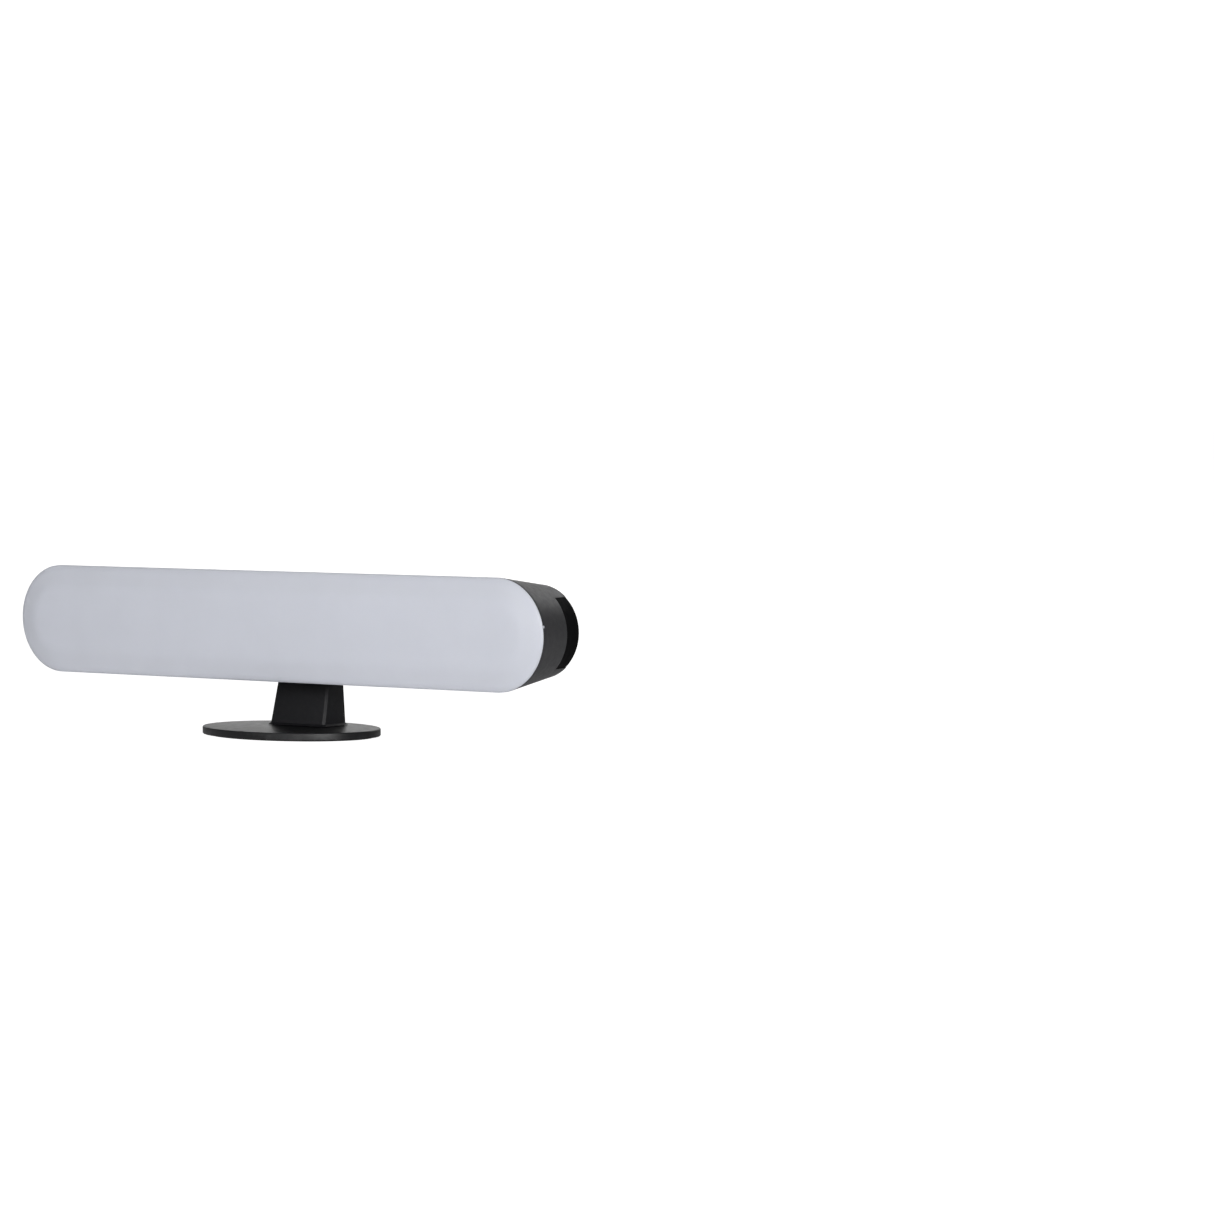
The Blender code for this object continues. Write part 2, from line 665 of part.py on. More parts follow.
def make_power_leads(materials, head, bar, plug_face):
    """Two leads from the inlet's pin and its rear face along the tray's back to the control board."""
    run_y = bar[1] + LEAD_RUN_DEPTH
    bend_y = run_y + LEAD_RADIUS
    end_x = CONTROL_X + POWER_PLUG_PLACE[0]
    for name, start_depth, start_z, row, colour in (
        ("power_lead_positive", INLET_PIN_FRONT, 0.0, 0.5, "lead_red"),
        ("power_lead_negative", INLET_FRONT, GROUND_LEAD_Z, -0.5, "lead_black"),
    ):
        z = bar[2] + start_z
        end_z = bar[2] + POWER_PLUG_PLACE[1] + row * LEAD_SPACING
        points = [
            (INLET_X, bar[1] + start_depth - LEAD_GAP, z),
            (INLET_X - LEAD_BEND, bend_y, z),
            (INLET_X - LEAD_LANDING, run_y, z),
            (end_x + LEAD_LANDING, run_y, end_z),
            (end_x + LEAD_BEND, bend_y, end_z),
            (end_x, plug_face, end_z),
        ]
        add_lead(name, points, materials[colour], head)


def make_led_leads(materials, head, bar, plug_face):
    """Three leads from the light board's connector to the control board."""
    connector_rear = bar[1] + TRAY_FLOOR + LED_CONNECTOR_SIZE[1] + LEAD_GAP
    end_x = CONTROL_X + LED_PLUG_PLACE[0]
    for name, row, colour in (
        ("led_lead_supply", 1, "lead_red"),
        ("led_lead_data", 0, "lead_white"),
        ("led_lead_ground", -1, "lead_black"),
    ):
        start_z = bar[2] + row * LEAD_SPACING
        end_z = start_z + LED_PLUG_PLACE[1]
        points = [
            (LED_CONNECTOR_X, connector_rear, start_z),
            (LED_CONNECTOR_X + LEAD_BEND, connector_rear + LED_LEAD_RISE, start_z),
            (LED_CONNECTOR_X + LED_LEAD_MIDDLE, plug_face - LED_LEAD_DIP, (start_z + end_z) / 2),
            (end_x - LEAD_BEND, plug_face - LED_LEAD_RISE, end_z),
            (end_x, plug_face, end_z),
        ]
        add_lead(name, points, materials[colour], head)


def make_leads(materials, head, bar):
    plug_face = bar[1] + CONTROL_FRONT - GAP - PLUG_HEIGHT - LEAD_GAP
    make_power_leads(materials, head, bar, plug_face)
    make_led_leads(materials, head, bar, plug_face)


# Stand


def column_section(z):
    """Half width, front Y and rear Y of the column at a height."""
    along = (z - COLUMN_BOTTOM) / (COLUMN_TOP - COLUMN_BOTTOM)
    pairs = (COLUMN_HALF_WIDTHS, COLUMN_FRONTS, COLUMN_REARS)
    return [bottom + (top - bottom) * along for bottom, top in pairs]


def column_ring(z, flare=0.0, slope=0.0):
    """A rounded rectangle around the column, at a height, tilted up towards the rear by the slope."""
    half_width, front, rear = column_section(z)
    x = half_width + flare - COLUMN_CORNER
    front_y = front - flare + COLUMN_CORNER
    rear_y = rear + flare - COLUMN_CORNER
    ring = []
    for corner, (cx, cy) in enumerate(((x, rear_y), (-x, rear_y), (-x, front_y), (x, front_y))):
        for step in range(COLUMN_CORNER_STEPS + 1):
            angle = math.pi / 2 * (corner + step / COLUMN_CORNER_STEPS)
            y = cy + COLUMN_CORNER * math.sin(angle)
            ring.append((cx + COLUMN_CORNER * math.cos(angle), y, z + slope * (y - front)))
    return ring


def make_column(material, stand):
    """The column with a small flare at its foot and the tongue that the bar drops onto."""
    rings = [
        column_ring(COLUMN_BOTTOM, flare=COLUMN_FLARE),
        column_ring(COLUMN_BOTTOM + COLUMN_FLARE_HEIGHT / 3, flare=COLUMN_FLARE / 2),
        column_ring(COLUMN_BOTTOM + COLUMN_FLARE_HEIGHT),
        column_ring(COLUMN_TOP, slope=COLUMN_TOP_SLOPE),
    ]
    column = add("stand_column", skin("stand_column", rings), material, stand)
    low = (-TONGUE_HALF_WIDTH, TONGUE_FRONT_Y, COLUMN_TOP - TONGUE_ROOT)
    join(column, box("tongue", low, (TONGUE_HALF_WIDTH, TONGUE_REAR_Y, TONGUE_TOP)))
    return column


def make_base(material, stand):
    """A low oval plate with a rounded top edge and a shallow pocket underneath."""
    round_part = BASE_ROUND * 0.3
    rings = [
        ellipse(POCKET_INSET, POCKET_TOP),
        ellipse(POCKET_INSET, BASE_UNDERSIDE),
        ellipse(BASE_CHAMFER, BASE_UNDERSIDE),
        ellipse(0.0, BASE_UNDERSIDE + BASE_CHAMFER),
        ellipse(0.0, BASE_TOP - BASE_ROUND),
        ellipse(round_part, BASE_TOP - round_part),
        ellipse(BASE_ROUND, BASE_TOP),
    ]
    return add("stand_base", skin("stand_base", rings), material, stand)


def make_ballast(material, stand):
    inset = POCKET_INSET + BALLAST_GAP
    rings = [ellipse(inset, BALLAST_BOTTOM), ellipse(inset, POCKET_TOP - GAP)]
    return add("base_ballast", skin("base_ballast", rings), material, stand)


def make_pad(material, stand):
    inset = POCKET_INSET + GAP
    rings = [ellipse(inset, 0.0), ellipse(inset, PAD_TOP)]
    return add("base_pad", skin("base_pad", rings), material, stand)


def make_stand(materials, stand):
    column = make_column(materials["housing"], stand)
    base = make_base(materials["base"], stand)
    ballast = make_ballast(materials["steel"], stand)
    make_pad(materials["pad"], stand)
    screw = screw_mesh("column_screw", COLUMN_SHANK, COLUMN_SCREW, COLUMN_HEAD_PROFILE, materials["steel"])
    for i, x in enumerate((-COLUMN_SCREW_X, COLUMN_SCREW_X)):
        for target, radius, low, high in (
            (column, COLUMN_HOLE, COLUMN_BOTTOM - CUT_OVER, COLUMN_HOLE_TOP),
            (base, COLUMN_HOLE, POCKET_TOP - CUT_OVER, BASE_TOP + CUT_OVER),
            (ballast, COLUMN_HEAD + GAP, BALLAST_BOTTOM - CUT_OVER, POCKET_TOP + CUT_OVER),
        ):
            hole = lathe("column_screw_hole", [(radius, low), (radius, high)])
            hole.transform(Matrix.Translation((x, COLUMN_SCREW_Y, 0.0)))
            cut(target, hole)
        place = (x, COLUMN_SCREW_Y, POCKET_TOP - GAP)
        obj = add(f"column_screw_{i + 1}", screw, materials["steel"], stand, place)
        obj.rotation_euler = FACE_DOWN.to_euler()


# Screws


def screw_mesh(name, shank, length, head_profile, material):
    """A cross-recessed screw: its head rises from Z 0, and its shank hangs below."""
    tip = [(shank * SCREW_TIP, -length), (shank, -length + shank), (shank, 0.0)]
    body = add(name, lathe(name, [*tip, *head_profile], SCREW_STEPS), material, None)
    top_radius, top = head_profile[-1]
    reach, half = top_radius * RECESS_REACH, shank * RECESS_HALF_WIDTH
    floor = top - shank * RECESS_DEPTH
    slots = [(reach, half), (half, reach)]
    return carved(body, [box("recess", (-x, -y, floor), (x, y, top + CUT_OVER)) for x, y in slots])


def make_screws(materials, head, bar):
    steel = materials["steel"]
    short = screw_mesh("short_screw", SMALL_SHANK, SHORT_SCREW, SMALL_HEAD_PROFILE, steel)
    long = screw_mesh("long_screw", SMALL_SHANK, LONG_SCREW, SMALL_HEAD_PROFILE, steel)

    def put(name, mesh, x, depth, z, turn):
        obj = add(name, mesh, steel, head, (x, bar[1] + depth, bar[2] + z))
        obj.rotation_euler = turn.to_euler()

    board_front = TRAY_FLOOR - GAP - LED_BOARD_THICKNESS
    for i, x in enumerate(LED_BOARD_SCREW_X):
        put(f"led_board_screw_{i + 1}", short, x, board_front - GAP, 0.0, FACE_FRONT)
    for i, x in enumerate((-TRAY_POST_X, TRAY_POST_X)):
        put(f"tray_screw_{i + 1}", long, x, TRAY_FLOOR - GAP, 0.0, FACE_FRONT)
    for i, (offset, z) in enumerate(CONTROL_SCREWS):
        put(f"control_board_screw_{i + 1}", short, CONTROL_X + offset, CONTROL_FRONT - GAP, z, FACE_FRONT)
    corners = [(side_x, side_z) for side_x in (-1, 1) for side_z in (1, -1)]
    depth = COVER_REAR - SINK_DEPTH + GAP
    for i, (side_x, side_z) in enumerate(corners):
        put(f"cover_screw_{i + 1}", long, side_x * BOSS_X, depth, side_z * BOSS_Z, FACE_REAR)


def make_materials():
    return {
        "diffuser": new_material("opal_plastic", (0.60, 0.61, 0.66), 0.45),
        "housing": new_material("black_textured_plastic", (0.022, 0.022, 0.024), 0.55),
        "cover": new_material("black_plastic", (0.012, 0.012, 0.013), 0.50),
        "base": new_material("black_base_plastic", (0.026, 0.026, 0.028), 0.38),
        "tray": new_material("white_reflector_plastic", (0.85, 0.85, 0.84), 0.35),
        "board_white": new_material("white_circuit_board", (0.80, 0.80, 0.78), 0.45),
        "board_green": new_material("green_circuit_board", (0.02, 0.16, 0.07), 0.40),
        "led": new_material("led_package", (0.85, 0.80, 0.55), 0.30),
        "shield": new_material("shield_tin", (0.62, 0.62, 0.60), 0.30, 1.0),
        "ferrite": new_material("ferrite", (0.05, 0.05, 0.055), 0.70),
        "capacitor": new_material("capacitor_sleeve", (0.02, 0.03, 0.08), 0.35),
        "connector": new_material("white_nylon", (0.75, 0.73, 0.66), 0.50),
        "connector_black": new_material("black_nylon", (0.015, 0.015, 0.016), 0.40),
        "steel": new_material("plated_steel", (0.55, 0.56, 0.58), 0.32, 1.0),
        "pad": new_material("foam_rubber", (0.018, 0.018, 0.019), 0.90),
        "lead_red": new_material("red_insulation", (0.45, 0.02, 0.02), 0.45),
        "lead_black": new_material("black_insulation", (0.015, 0.015, 0.015), 0.45),
        "lead_white": new_material("white_insulation", (0.75, 0.75, 0.73), 0.45),
    }


def main():
    clear_scene()
    materials = make_materials()
    tongue_middle_y = (TONGUE_FRONT_Y + TONGUE_REAR_Y) / 2
    stand = add_empty("stand_frame", (0.0, 0.0, 0.0))
    head = add_empty("head_lift_axis", (0.0, tongue_middle_y, COLUMN_TOP))
    bar = (0.0, BAR_FRONT_Y, BAR_MIDDLE_Z)
    make_diffuser(materials["diffuser"], head, bar)
    make_housing(materials["housing"], head, bar)
    make_rear_cover(materials["cover"], head, bar)
    make_reflector_tray(materials["tray"], head, bar)
    make_light_board(materials, head, bar)
    make_control_board(materials, head, bar)
    make_power_inlet(materials, head, bar)
    make_leads(materials, head, bar)
    make_screws(materials, head, bar)
    make_stand(materials, stand)


main()
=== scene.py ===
from math import copysign, cos, pi, radians, sin, sqrt, tan

import bmesh
import bpy
from mathutils import Matrix, Vector


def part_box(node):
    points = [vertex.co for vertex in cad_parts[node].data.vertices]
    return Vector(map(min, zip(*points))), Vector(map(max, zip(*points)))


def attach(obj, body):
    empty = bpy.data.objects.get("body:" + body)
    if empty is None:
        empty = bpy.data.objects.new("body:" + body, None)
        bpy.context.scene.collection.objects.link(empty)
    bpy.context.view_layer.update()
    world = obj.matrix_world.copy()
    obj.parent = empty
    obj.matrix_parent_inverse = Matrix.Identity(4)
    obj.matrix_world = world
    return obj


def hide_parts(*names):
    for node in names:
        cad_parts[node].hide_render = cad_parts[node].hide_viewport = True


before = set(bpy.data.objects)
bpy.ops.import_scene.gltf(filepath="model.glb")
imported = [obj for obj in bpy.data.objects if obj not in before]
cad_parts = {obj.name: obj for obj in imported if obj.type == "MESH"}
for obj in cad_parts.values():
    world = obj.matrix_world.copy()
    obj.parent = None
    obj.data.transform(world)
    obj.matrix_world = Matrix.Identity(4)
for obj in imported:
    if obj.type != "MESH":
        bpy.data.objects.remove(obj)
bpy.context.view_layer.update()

# Frame: +X along the bar, +Z up, the bar shines towards -Y. Lengths are in metres.
# The bar's shapes are drawn as (x, depth, z), with depth behind its front face and z from its middle.

DIFFUSER_LOW, DIFFUSER_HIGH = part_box("diffuser")
HOUSING_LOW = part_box("housing")[0]
COVER_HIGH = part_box("rear_cover")[1]
TRAY_LOW, TRAY_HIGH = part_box("reflector_tray")
INLET_LOW, INLET_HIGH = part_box("power_inlet")
BASE_LOW, BASE_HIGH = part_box("stand_base")
COLUMN_LOW, COLUMN_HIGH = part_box("stand_column")

# The gap between two parts that fit together
GAP = 0.0003

# How far a cutter runs past the face it opens: through a plate, and out of the side of the bar
CUT_OVER = 0.001
CUT_PAST = 0.005

# Bar
BAR = Vector((0.0, DIFFUSER_LOW.y, (DIFFUSER_LOW.z + DIFFUSER_HIGH.z) / 2))
BAR_LENGTH = DIFFUSER_HIGH.x - DIFFUSER_LOW.x
BAR_HEIGHT = DIFFUSER_HIGH.z - DIFFUSER_LOW.z
BAR_DEPTH = COVER_HIGH.y - BAR.y
END_RADIUS = BAR_HEIGHT / 2
STRAIGHT = (BAR_LENGTH - BAR_HEIGHT) / 2
END_STEPS = 48

# Diffuser
PILLOW_STEPS = 6
FACE_RING = 0.0006
HOUSING_FRONT = HOUSING_LOW.y - BAR.y
DIFFUSER_EDGE = HOUSING_FRONT - GAP
DIFFUSER_WALL = 0.0018
DIFFUSER_EDGE_ROUND = 0.00012
SKIRT_END = DIFFUSER_HIGH.y - BAR.y
SKIRT_WALL = 0.0013
SKIRT_EASE = 0.0003

# (inset, depth) pairs from the skirt's inside round to the flat of the diffuser's inner face
INNER_CORNER = ((0.0005, 0.0007), (0.0013, 0.0003), (0.0040, 0.0), (0.0044, 0.0))

# How steeply the face falls away, in degrees, at each distance in from its edge
PILLOW_SLOPES = (
    (0.0125, 0), (0.0105, 5), (0.0080, 12), (0.0030, 13), (0.0010, 22), (0.0, 48),
)

# The diffuser's locating tab, which shows as a small white nick in the seam at the bar's +X end
TAB_Z = 0.0041
TAB_HALF_WIDTH = 0.0006
TAB_FRONT = 0.0026
TAB_REAR = 0.0043
TAB_THICKNESS = 0.0010
TAB_ROUND = 0.0002
TAB_CLEARANCE = 0.00015

# Housing
HOUSING_WALL = 0.0013
HOUSING_WALL_STEPS = 12
REAR_INSET = 0.0046
REAR_ROUND = 0.0034
REAR_ROUND_STEPS = 14
HOUSING_ROUND_END = radians(41)
HOUSING_LIP_EASE = 0.0001
FRONT_ROUND = 0.00018
INSIDE_EASE = 0.0001
NOTCH_WIDTH = 0.0305
END_NOTCH_FRONT = 0.0237
END_NOTCH_REACH = 0.012
STAND_NOTCH_FRONT = 0.0245
STAND_NOTCH_REACH = 0.008
NOTCH_EDGE = 0.00022
BOSS_RADIUS = 0.0028
BOSS_FRONT = 0.0212
BOSS_REAR = 0.0338
BOSS_HOLE_FRONT = 0.0232
RIB_HALF_WIDTH = 0.0008
RIB_OVERLAP = 0.0018
RIB_SET_BACK = 0.001

# Rear cover
COVER_FRONT = 0.0341
COVER_EDGE_GAP = 0.0005
COVER_ROUND_START = radians(49)
COVER_EASE = 0.00012
COVER_FACE_BLEND = 0.0001
SINK_DEPTH = 0.0014
SINK_RADIUS = 0.0022
SEAT_WALL = 0.0014
SEAT_FRONT = 0.0222
SEAT_OVERLAP = 0.0017
END_SEAT_ANGLE = radians(56)
END_SEAT_STEPS = 40
CHEEK_RECESS = 0.0002
CHEEK_WALL = 0.0020
CHEEK_ROUND_END = radians(60)
STAND_GAP_Z = -0.0181
STAND_GAP_FRONT = 0.0335
SOCKET_WALL = 0.0015
SOCKET_TOP = 0.0410 - BAR.z
SOCKET_OVER_SEAT = 0.006
TRAY_POST_RADIUS = 0.0028
TRAY_POST_HOLE = 0.008
BOARD_POST_RADIUS = 0.0023

# How deep the seats, the socket and the posts run into the cover's plate: no two end in one plane
SEAT_ROOT = 0.0006
SOCKET_ROOT = 0.0009
POST_ROOT = 0.0012

# Power inlet
INLET_HALF_WIDTH = 0.0045
INLET_HALF_HEIGHT = 0.0055
INLET_BORE_RADIUS = 0.0031
INLET_BORE_DEPTH = 0.0085
INLET_BORE_FLARE = 0.00035
INLET_FLANGE_THICKNESS = 0.0015
INLET_EASE = 0.0004
PIN_RADIUS = 0.001
PIN_CURVE = radians(80)

# Reflector tray
TRAY_FRONT = TRAY_LOW.y - BAR.y
TRAY_REAR = TRAY_HIGH.y - BAR.y
TRAY_WALL = 0.0012
TRAY_FLOOR = TRAY_REAR - TRAY_WALL
TRAY_RIM_INSET = 0.0025
TRAY_FLOOR_INSET = 0.0115
TRAY_ROUND = 0.0004
CONNECTOR_CLEARANCE = 0.0006

# Emitters
LED_HALF_SIDE = 0.0025
LED_HEIGHT = 0.0015
LED_EASE = 0.00012
LED_CUP_DEPTH = 0.0004
LED_CUP_FLOOR = 0.0016
LED_CUP_RIM = 0.0021
LED_PHOSPHOR_ROOT = 1.2 * LED_CUP_DEPTH
LED_LEG_REACH = 0.0002
LED_LEG_ROW = 0.0013
LED_LEG_HALF = 0.0004
LED_LEG_HEIGHT = 0.0006

# The phosphor's domed top: shares of the cup's radius, and rises above its edge
LED_MENISCUS = ((0.7, 0.00005), (0.3, 0.00007))

# Boards and the parts soldered to them
BOARD_EASE = 0.0001
PAD_WIDTH = 0.0009
PAD_HEIGHT = 0.0010
PAD_RISE = 0.00006
PASSIVE_SIZE = (0.0016, 0.0008)
PASSIVE_HEIGHT = 0.00045
PASSIVE_TIN_HEIGHT = 0.000432
PASSIVE_EASE = 0.00003
PASSIVE_TIN_EASE = 0.00004
CHIP_LIFT = 0.0001
CHIP_EASE = 0.00012
CHIP_LEG_REACH = 0.0014
RADIO_CARRIER = 0.0008
RADIO_MARGIN = 0.0005
RADIO_CAN_EASE = 0.0003
AERIAL_RUNS = 6
AERIAL_WIDTH = 0.0026
AERIAL_TRACK = 0.0004

# Shares: a passive's body of its length and width, and its row of the light board's height
PASSIVE_BODY = (0.6, 1.01)
PASSIVE_ROW = 0.32

# Shares: a chip leg's width of the pitch, and its rise of the chip's thickness
CHIP_LEG_WIDTH = 0.4
CHIP_LEG_RISE = 0.35

# Shares: the radio can's width of the module's, and the aerial's height of the module's
RADIO_CAN_WIDTH = 0.7
AERIAL_SPAN = 0.7

# Power inductor: its eased edges, its lift off the board, then shares of its sides
FERRITE_EASE = 0.0006
FERRITE_LIFT = 0.0002
FERRITE_WIDTH = 0.96
FERRITE_HEIGHT = 0.9
CORE_RADIUS = 0.36
CORE_ROOT = 0.8
CORE_TIN_HEIGHT = 0.4
CORE_TIN_RISE = 0.25

# Storage capacitor's sleeve: shares of its radius, with heights above its foot and below its top
SLEEVE_FOOT = ((0.84, 0.0), (1.0, 0.0004), (1.0, 0.0009), (0.9, 0.0012), (1.0, 0.0015))
SLEEVE_TOP = ((1.0, 0.0005), (0.97, 0.0002), (0.9, 0.0), (0.8, 0.0001))

# Its metal top and the cross scored in it: shares of its radius, depths below its top, and half the
# width of a score
CAN_TOP_RADIUS = 0.816
SCORE_REACH = 0.56
CAN_TOP_UNDER = 0.0006
CAN_TOP_FACE = 0.0003
SCORE_FLOOR = 0.0004
SCORE_HALF_WIDTH = 0.0001

# Connectors: the housing and its latch ribs, as shares of the sides
CONNECTOR_WIDTH = 0.9
LATCH_START = 0.2
LATCH_END = 0.8
LATCH_HALF = 0.15

# Connectors: eased edges, and the entries for the leads
CONNECTOR_EASE = 0.0004
LATCH_EASE = 0.0002
LEAD_SPACING = 0.0018
LEAD_ENTRY = 0.0012
LEAD_ENTRY_RADIUS = 0.0008

# Stand
BASE_STEPS = 160
BASE_ROUND = 0.0005
BASE_CHAMFER = 0.0003
POCKET_INSET = 0.0023
POCKET_TOP = 0.0023
PAD_ROUND = 0.00015

# Column. Its half width and its front and rear Y are given at its foot, then at its top
COLUMN_TOP = 0.0289
COLUMN_TOP_SLOPE = 0.132
COLUMN_HALF_WIDTHS = (0.0158, 0.0146)
COLUMN_FRONTS = (0.0036, 0.0094)
COLUMN_REARS = (0.0199, 0.0195)
COLUMN_CORNER = 0.0011
COLUMN_CORNER_EASE = 0.0003
COLUMN_CORNER_STEPS = 3
COLUMN_FLARE = 0.0008
COLUMN_FLARE_HEIGHT = 0.0009
COLUMN_FLARE_EDGE = 0.2
COLUMN_HOLE_TOP = 0.0150
TONGUE_HALF_WIDTH = 0.010
TONGUE_FRONT_Y = 0.0115
TONGUE_REAR_Y = 0.0175
TONGUE_ROOT = 0.004
TONGUE_EASE = 0.0005

# Screws: radii of the shanks and holes, the height and the eased edge of every head, and how many
# degrees each screw is turned beyond the one before it
SMALL_SHANK = 0.001
COLUMN_SHANK = 0.0015
SCREW_HEAD = 0.0011
SMALL_HOLE = SMALL_SHANK + GAP
COLUMN_HOLE = COLUMN_SHANK + GAP
SCREW_EASE = 0.0001
SCREW_TURN = 37

# Screw shapes, as shares of the shank's radius
SCREW_TIP = 0.35
THREAD_PITCH = 0.55
THREAD_ROOT = 0.8
RECESS_HALF_WIDTH = 0.22
RECESS_DEPTH = 0.6

# Screw shapes, as shares of the thread's pitch, then of the head's radius and height
THREAD_CREST = 0.4
THREAD_VALLEY = 0.8
RECESS_REACH = 0.5
HEAD_FLAT = 0.3
HEAD_SIDE = 0.45

# Rounded edges: how far a head's top curves, and the angles at the steps of a quarter turn
HEAD_CURVE = radians(60)
ROUND_STEPS = 5
QUARTER_TURN = [pi / 2 * i / ROUND_STEPS for i in range(ROUND_STEPS + 1)]

# Angles in degrees between two faces, above which the edge between them looks sharp
SHARP = 32
SHELL_SHARP = 40
COLUMN_SHARP = 24

# Turns that point a shape drawn along +Z towards the bar's front or back, or down
FACE_FRONT = Matrix.Rotation(radians(90), 4, "X")
FACE_REAR = Matrix.Rotation(radians(-90), 4, "X")
FACE_DOWN = Matrix.Rotation(radians(180), 4, "X")


# Mesh building


def middle(node):
    """The middle of a CAD node's box."""
    low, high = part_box(node)
    return (low + high) / 2


def size_of(node):
    """The sides of a CAD node's box."""
    low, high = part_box(node)
    return high - low


def at_node(node, y, mesh, facing=Matrix()):
    """The mesh, turned and moved to a node's middle in X and Z and to a place along Y."""
    place = middle(node)
    mesh.transform(Matrix.Translation((place.x, y, place.z)) @ facing)
    return mesh


def named(text):
    """The CAD nodes whose names hold a text, in order."""
    return sorted(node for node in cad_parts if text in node)


def stadium(inset, depth):
    """The bar's outline, drawn in by the inset, at a depth behind the front face."""
    radius = END_RADIUS - inset
    ring = []
    for side in (1, -1):
        for step in range(END_STEPS + 1):
            angle = pi * (step / END_STEPS - 0.5)
            x = side * (STRAIGHT + radius * cos(angle))
            ring.append((x, depth, side * radius * sin(angle)))
    return ring


def sharpened(mesh, angle=SHARP):
    """The mesh, shaded smooth up to an angle in degrees between two faces."""
    mesh.set_sharp_from_angle(angle=radians(angle))
    return mesh


def mesh_from(bm, name):
    bmesh.ops.recalc_face_normals(bm, faces=bm.faces)
    for face in bm.faces:
        face.smooth = True
    mesh = bpy.data.meshes.new(name)
    bm.to_mesh(mesh)
    bm.free()
    return sharpened(mesh)


def skin(name, rings, looped=False):
    """A closed mesh through rings of equal point counts: capped at both ends, or joined end to end."""
    bm = bmesh.new()
    loops = [[bm.verts.new(point) for point in ring] for ring in rings]
    pairs = list(zip(loops, loops[1:]))
    if looped:
        pairs.append((loops[-1], loops[0]))
    else:
        bm.faces.new(loops[0])
        bm.faces.new(loops[-1])
    for first, second in pairs:
        for i in range(len(first)):
            j = (i + 1) % len(first)
            bm.faces.new((first[i], first[j], second[j], second[i]))
    return mesh_from(bm, name)


def bar_skin(name, profile, looped=False):
    """A closed mesh from the bar's outline at each (inset, depth) pair."""
    return skin(name, [stadium(*pair) for pair in profile], looped)


def box(name, low, high, ease=0.0):
    """A block between two corners, with its edges eased."""
    size = [b - a for a, b in zip(low, high)]
    centre = [(a + b) / 2 for a, b in zip(low, high)]
    place = Matrix.Translation(centre) @ Matrix.Diagonal((*size, 1.0))
    bm = bmesh.new()
    bmesh.ops.create_cube(bm, size=1.0, matrix=place)
    if ease:
        bmesh.ops.bevel(bm, geom=bm.edges[:], offset=ease, segments=2, profile=0.5, affect="EDGES")
    return mesh_from(bm, name)


def lathe(name, profile, steps=32):
    """A turned solid about Z from (radius, z) pairs."""
    rings = []
    for radius, z in profile:
        angles = [2 * pi * i / steps for i in range(steps)]
        rings.append([(radius * cos(a), radius * sin(a), z) for a in angles])
    return skin(name, rings)


def drum(name, x, z, radius, front, rear, steps=32):
    """A cylinder along Y in the bar's frame."""
    mesh = lathe(name, [(radius, 0.0), (radius, rear - front)], steps)
    mesh.transform(Matrix.Translation((x, front, z)) @ FACE_REAR)
    return mesh


def link(name, data):
    """A new object in the scene."""
    obj = bpy.data.objects.new(name, data)
    bpy.context.scene.collection.objects.link(obj)
    return obj


def applied(obj, helpers=()):
    """The object's evaluated mesh. The object and its helpers are removed."""
    bpy.context.view_layer.update()
    graph = bpy.context.evaluated_depsgraph_get()
    mesh = bpy.data.meshes.new_from_object(obj.evaluated_get(graph))
    for old in (obj, *helpers):
        bpy.data.objects.remove(old, do_unlink=True)
    return mesh


def combined(mesh, operation, others):
    """The mesh after one Boolean with each of the others, all drawn in one frame."""
    target = link("combine_target", mesh)
    helpers = []
    for other in others:
        helper = link("combine_helper", other)
        helpers.append(helper)
        modifier = target.modifiers.new(other.name, "BOOLEAN")
        modifier.operation = operation
        modifier.solver = "EXACT"
        modifier.object = helper
    return applied(target, helpers)


def cut(mesh, cutters):
    return combined(mesh, "DIFFERENCE", cutters)


def join(mesh, others):
    return combined(mesh, "UNION", others)


def softened(mesh, width):
    """The mesh with its sharp edges rounded."""
    obj = link("soften_target", mesh)
    modifier = obj.modifiers.new("Round", "BEVEL")
    modifier.width = width
    modifier.segments = 2
    modifier.limit_method = "ANGLE"
    modifier.angle_limit = radians(50)
    return applied(obj)


def front_corner(inset, depth, radius):
    """(inset, depth) pairs around a rounded outer corner, from its front face to its side."""
    turns = [(1 - sin(angle), 1 - cos(angle)) for angle in QUARTER_TURN]
    return [(inset + radius * side, depth + radius * back) for side, back in turns]


def rear_corner(inset, depth, radius):
    """(inset, depth) pairs around a rounded outer corner, from its side to its rear face."""
    turns = [(1 - cos(angle), 1 - sin(angle)) for angle in QUARTER_TURN]
    return [(inset + radius * side, depth - radius * back) for side, back in turns]


def merged(name, parts):
    """One mesh from (mesh, material) pairs. Each part keeps its own material."""
    bm = bmesh.new()
    materials = []
    for mesh, material in parts:
        if material not in materials:
            materials.append(material)
        known = len(bm.faces)
        bm.from_mesh(mesh)
        bm.faces.ensure_lookup_table()
        for face in bm.faces[known:]:
            face.material_index = materials.index(material)
    mesh = bpy.data.meshes.new(name)
    bm.to_mesh(mesh)
    bm.free()
    for material in materials:
        mesh.materials.append(material)
    return mesh


def stand_for(node, name, mesh, body, material=None, sharp=SHARP):
    """A visual piece, drawn in the world's frame, that stands for a CAD node."""
    obj = link(name, sharpened(mesh, sharp))
    mesh.name = name
    if material:
        mesh.materials.clear()
        mesh.materials.append(material)
        mesh.polygons.foreach_set("material_index", [0] * len(mesh.polygons))
    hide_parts(node)
    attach(obj, body)
    return obj


def in_world(mesh):
    """A mesh drawn in the bar's frame, moved to the world's."""
    mesh.transform(Matrix.Translation(BAR))
    return mesh


# Materials

BLACK = (0.0, 0.0, 0.0, 1.0)
WHITE = (1.0, 1.0, 1.0, 1.0)


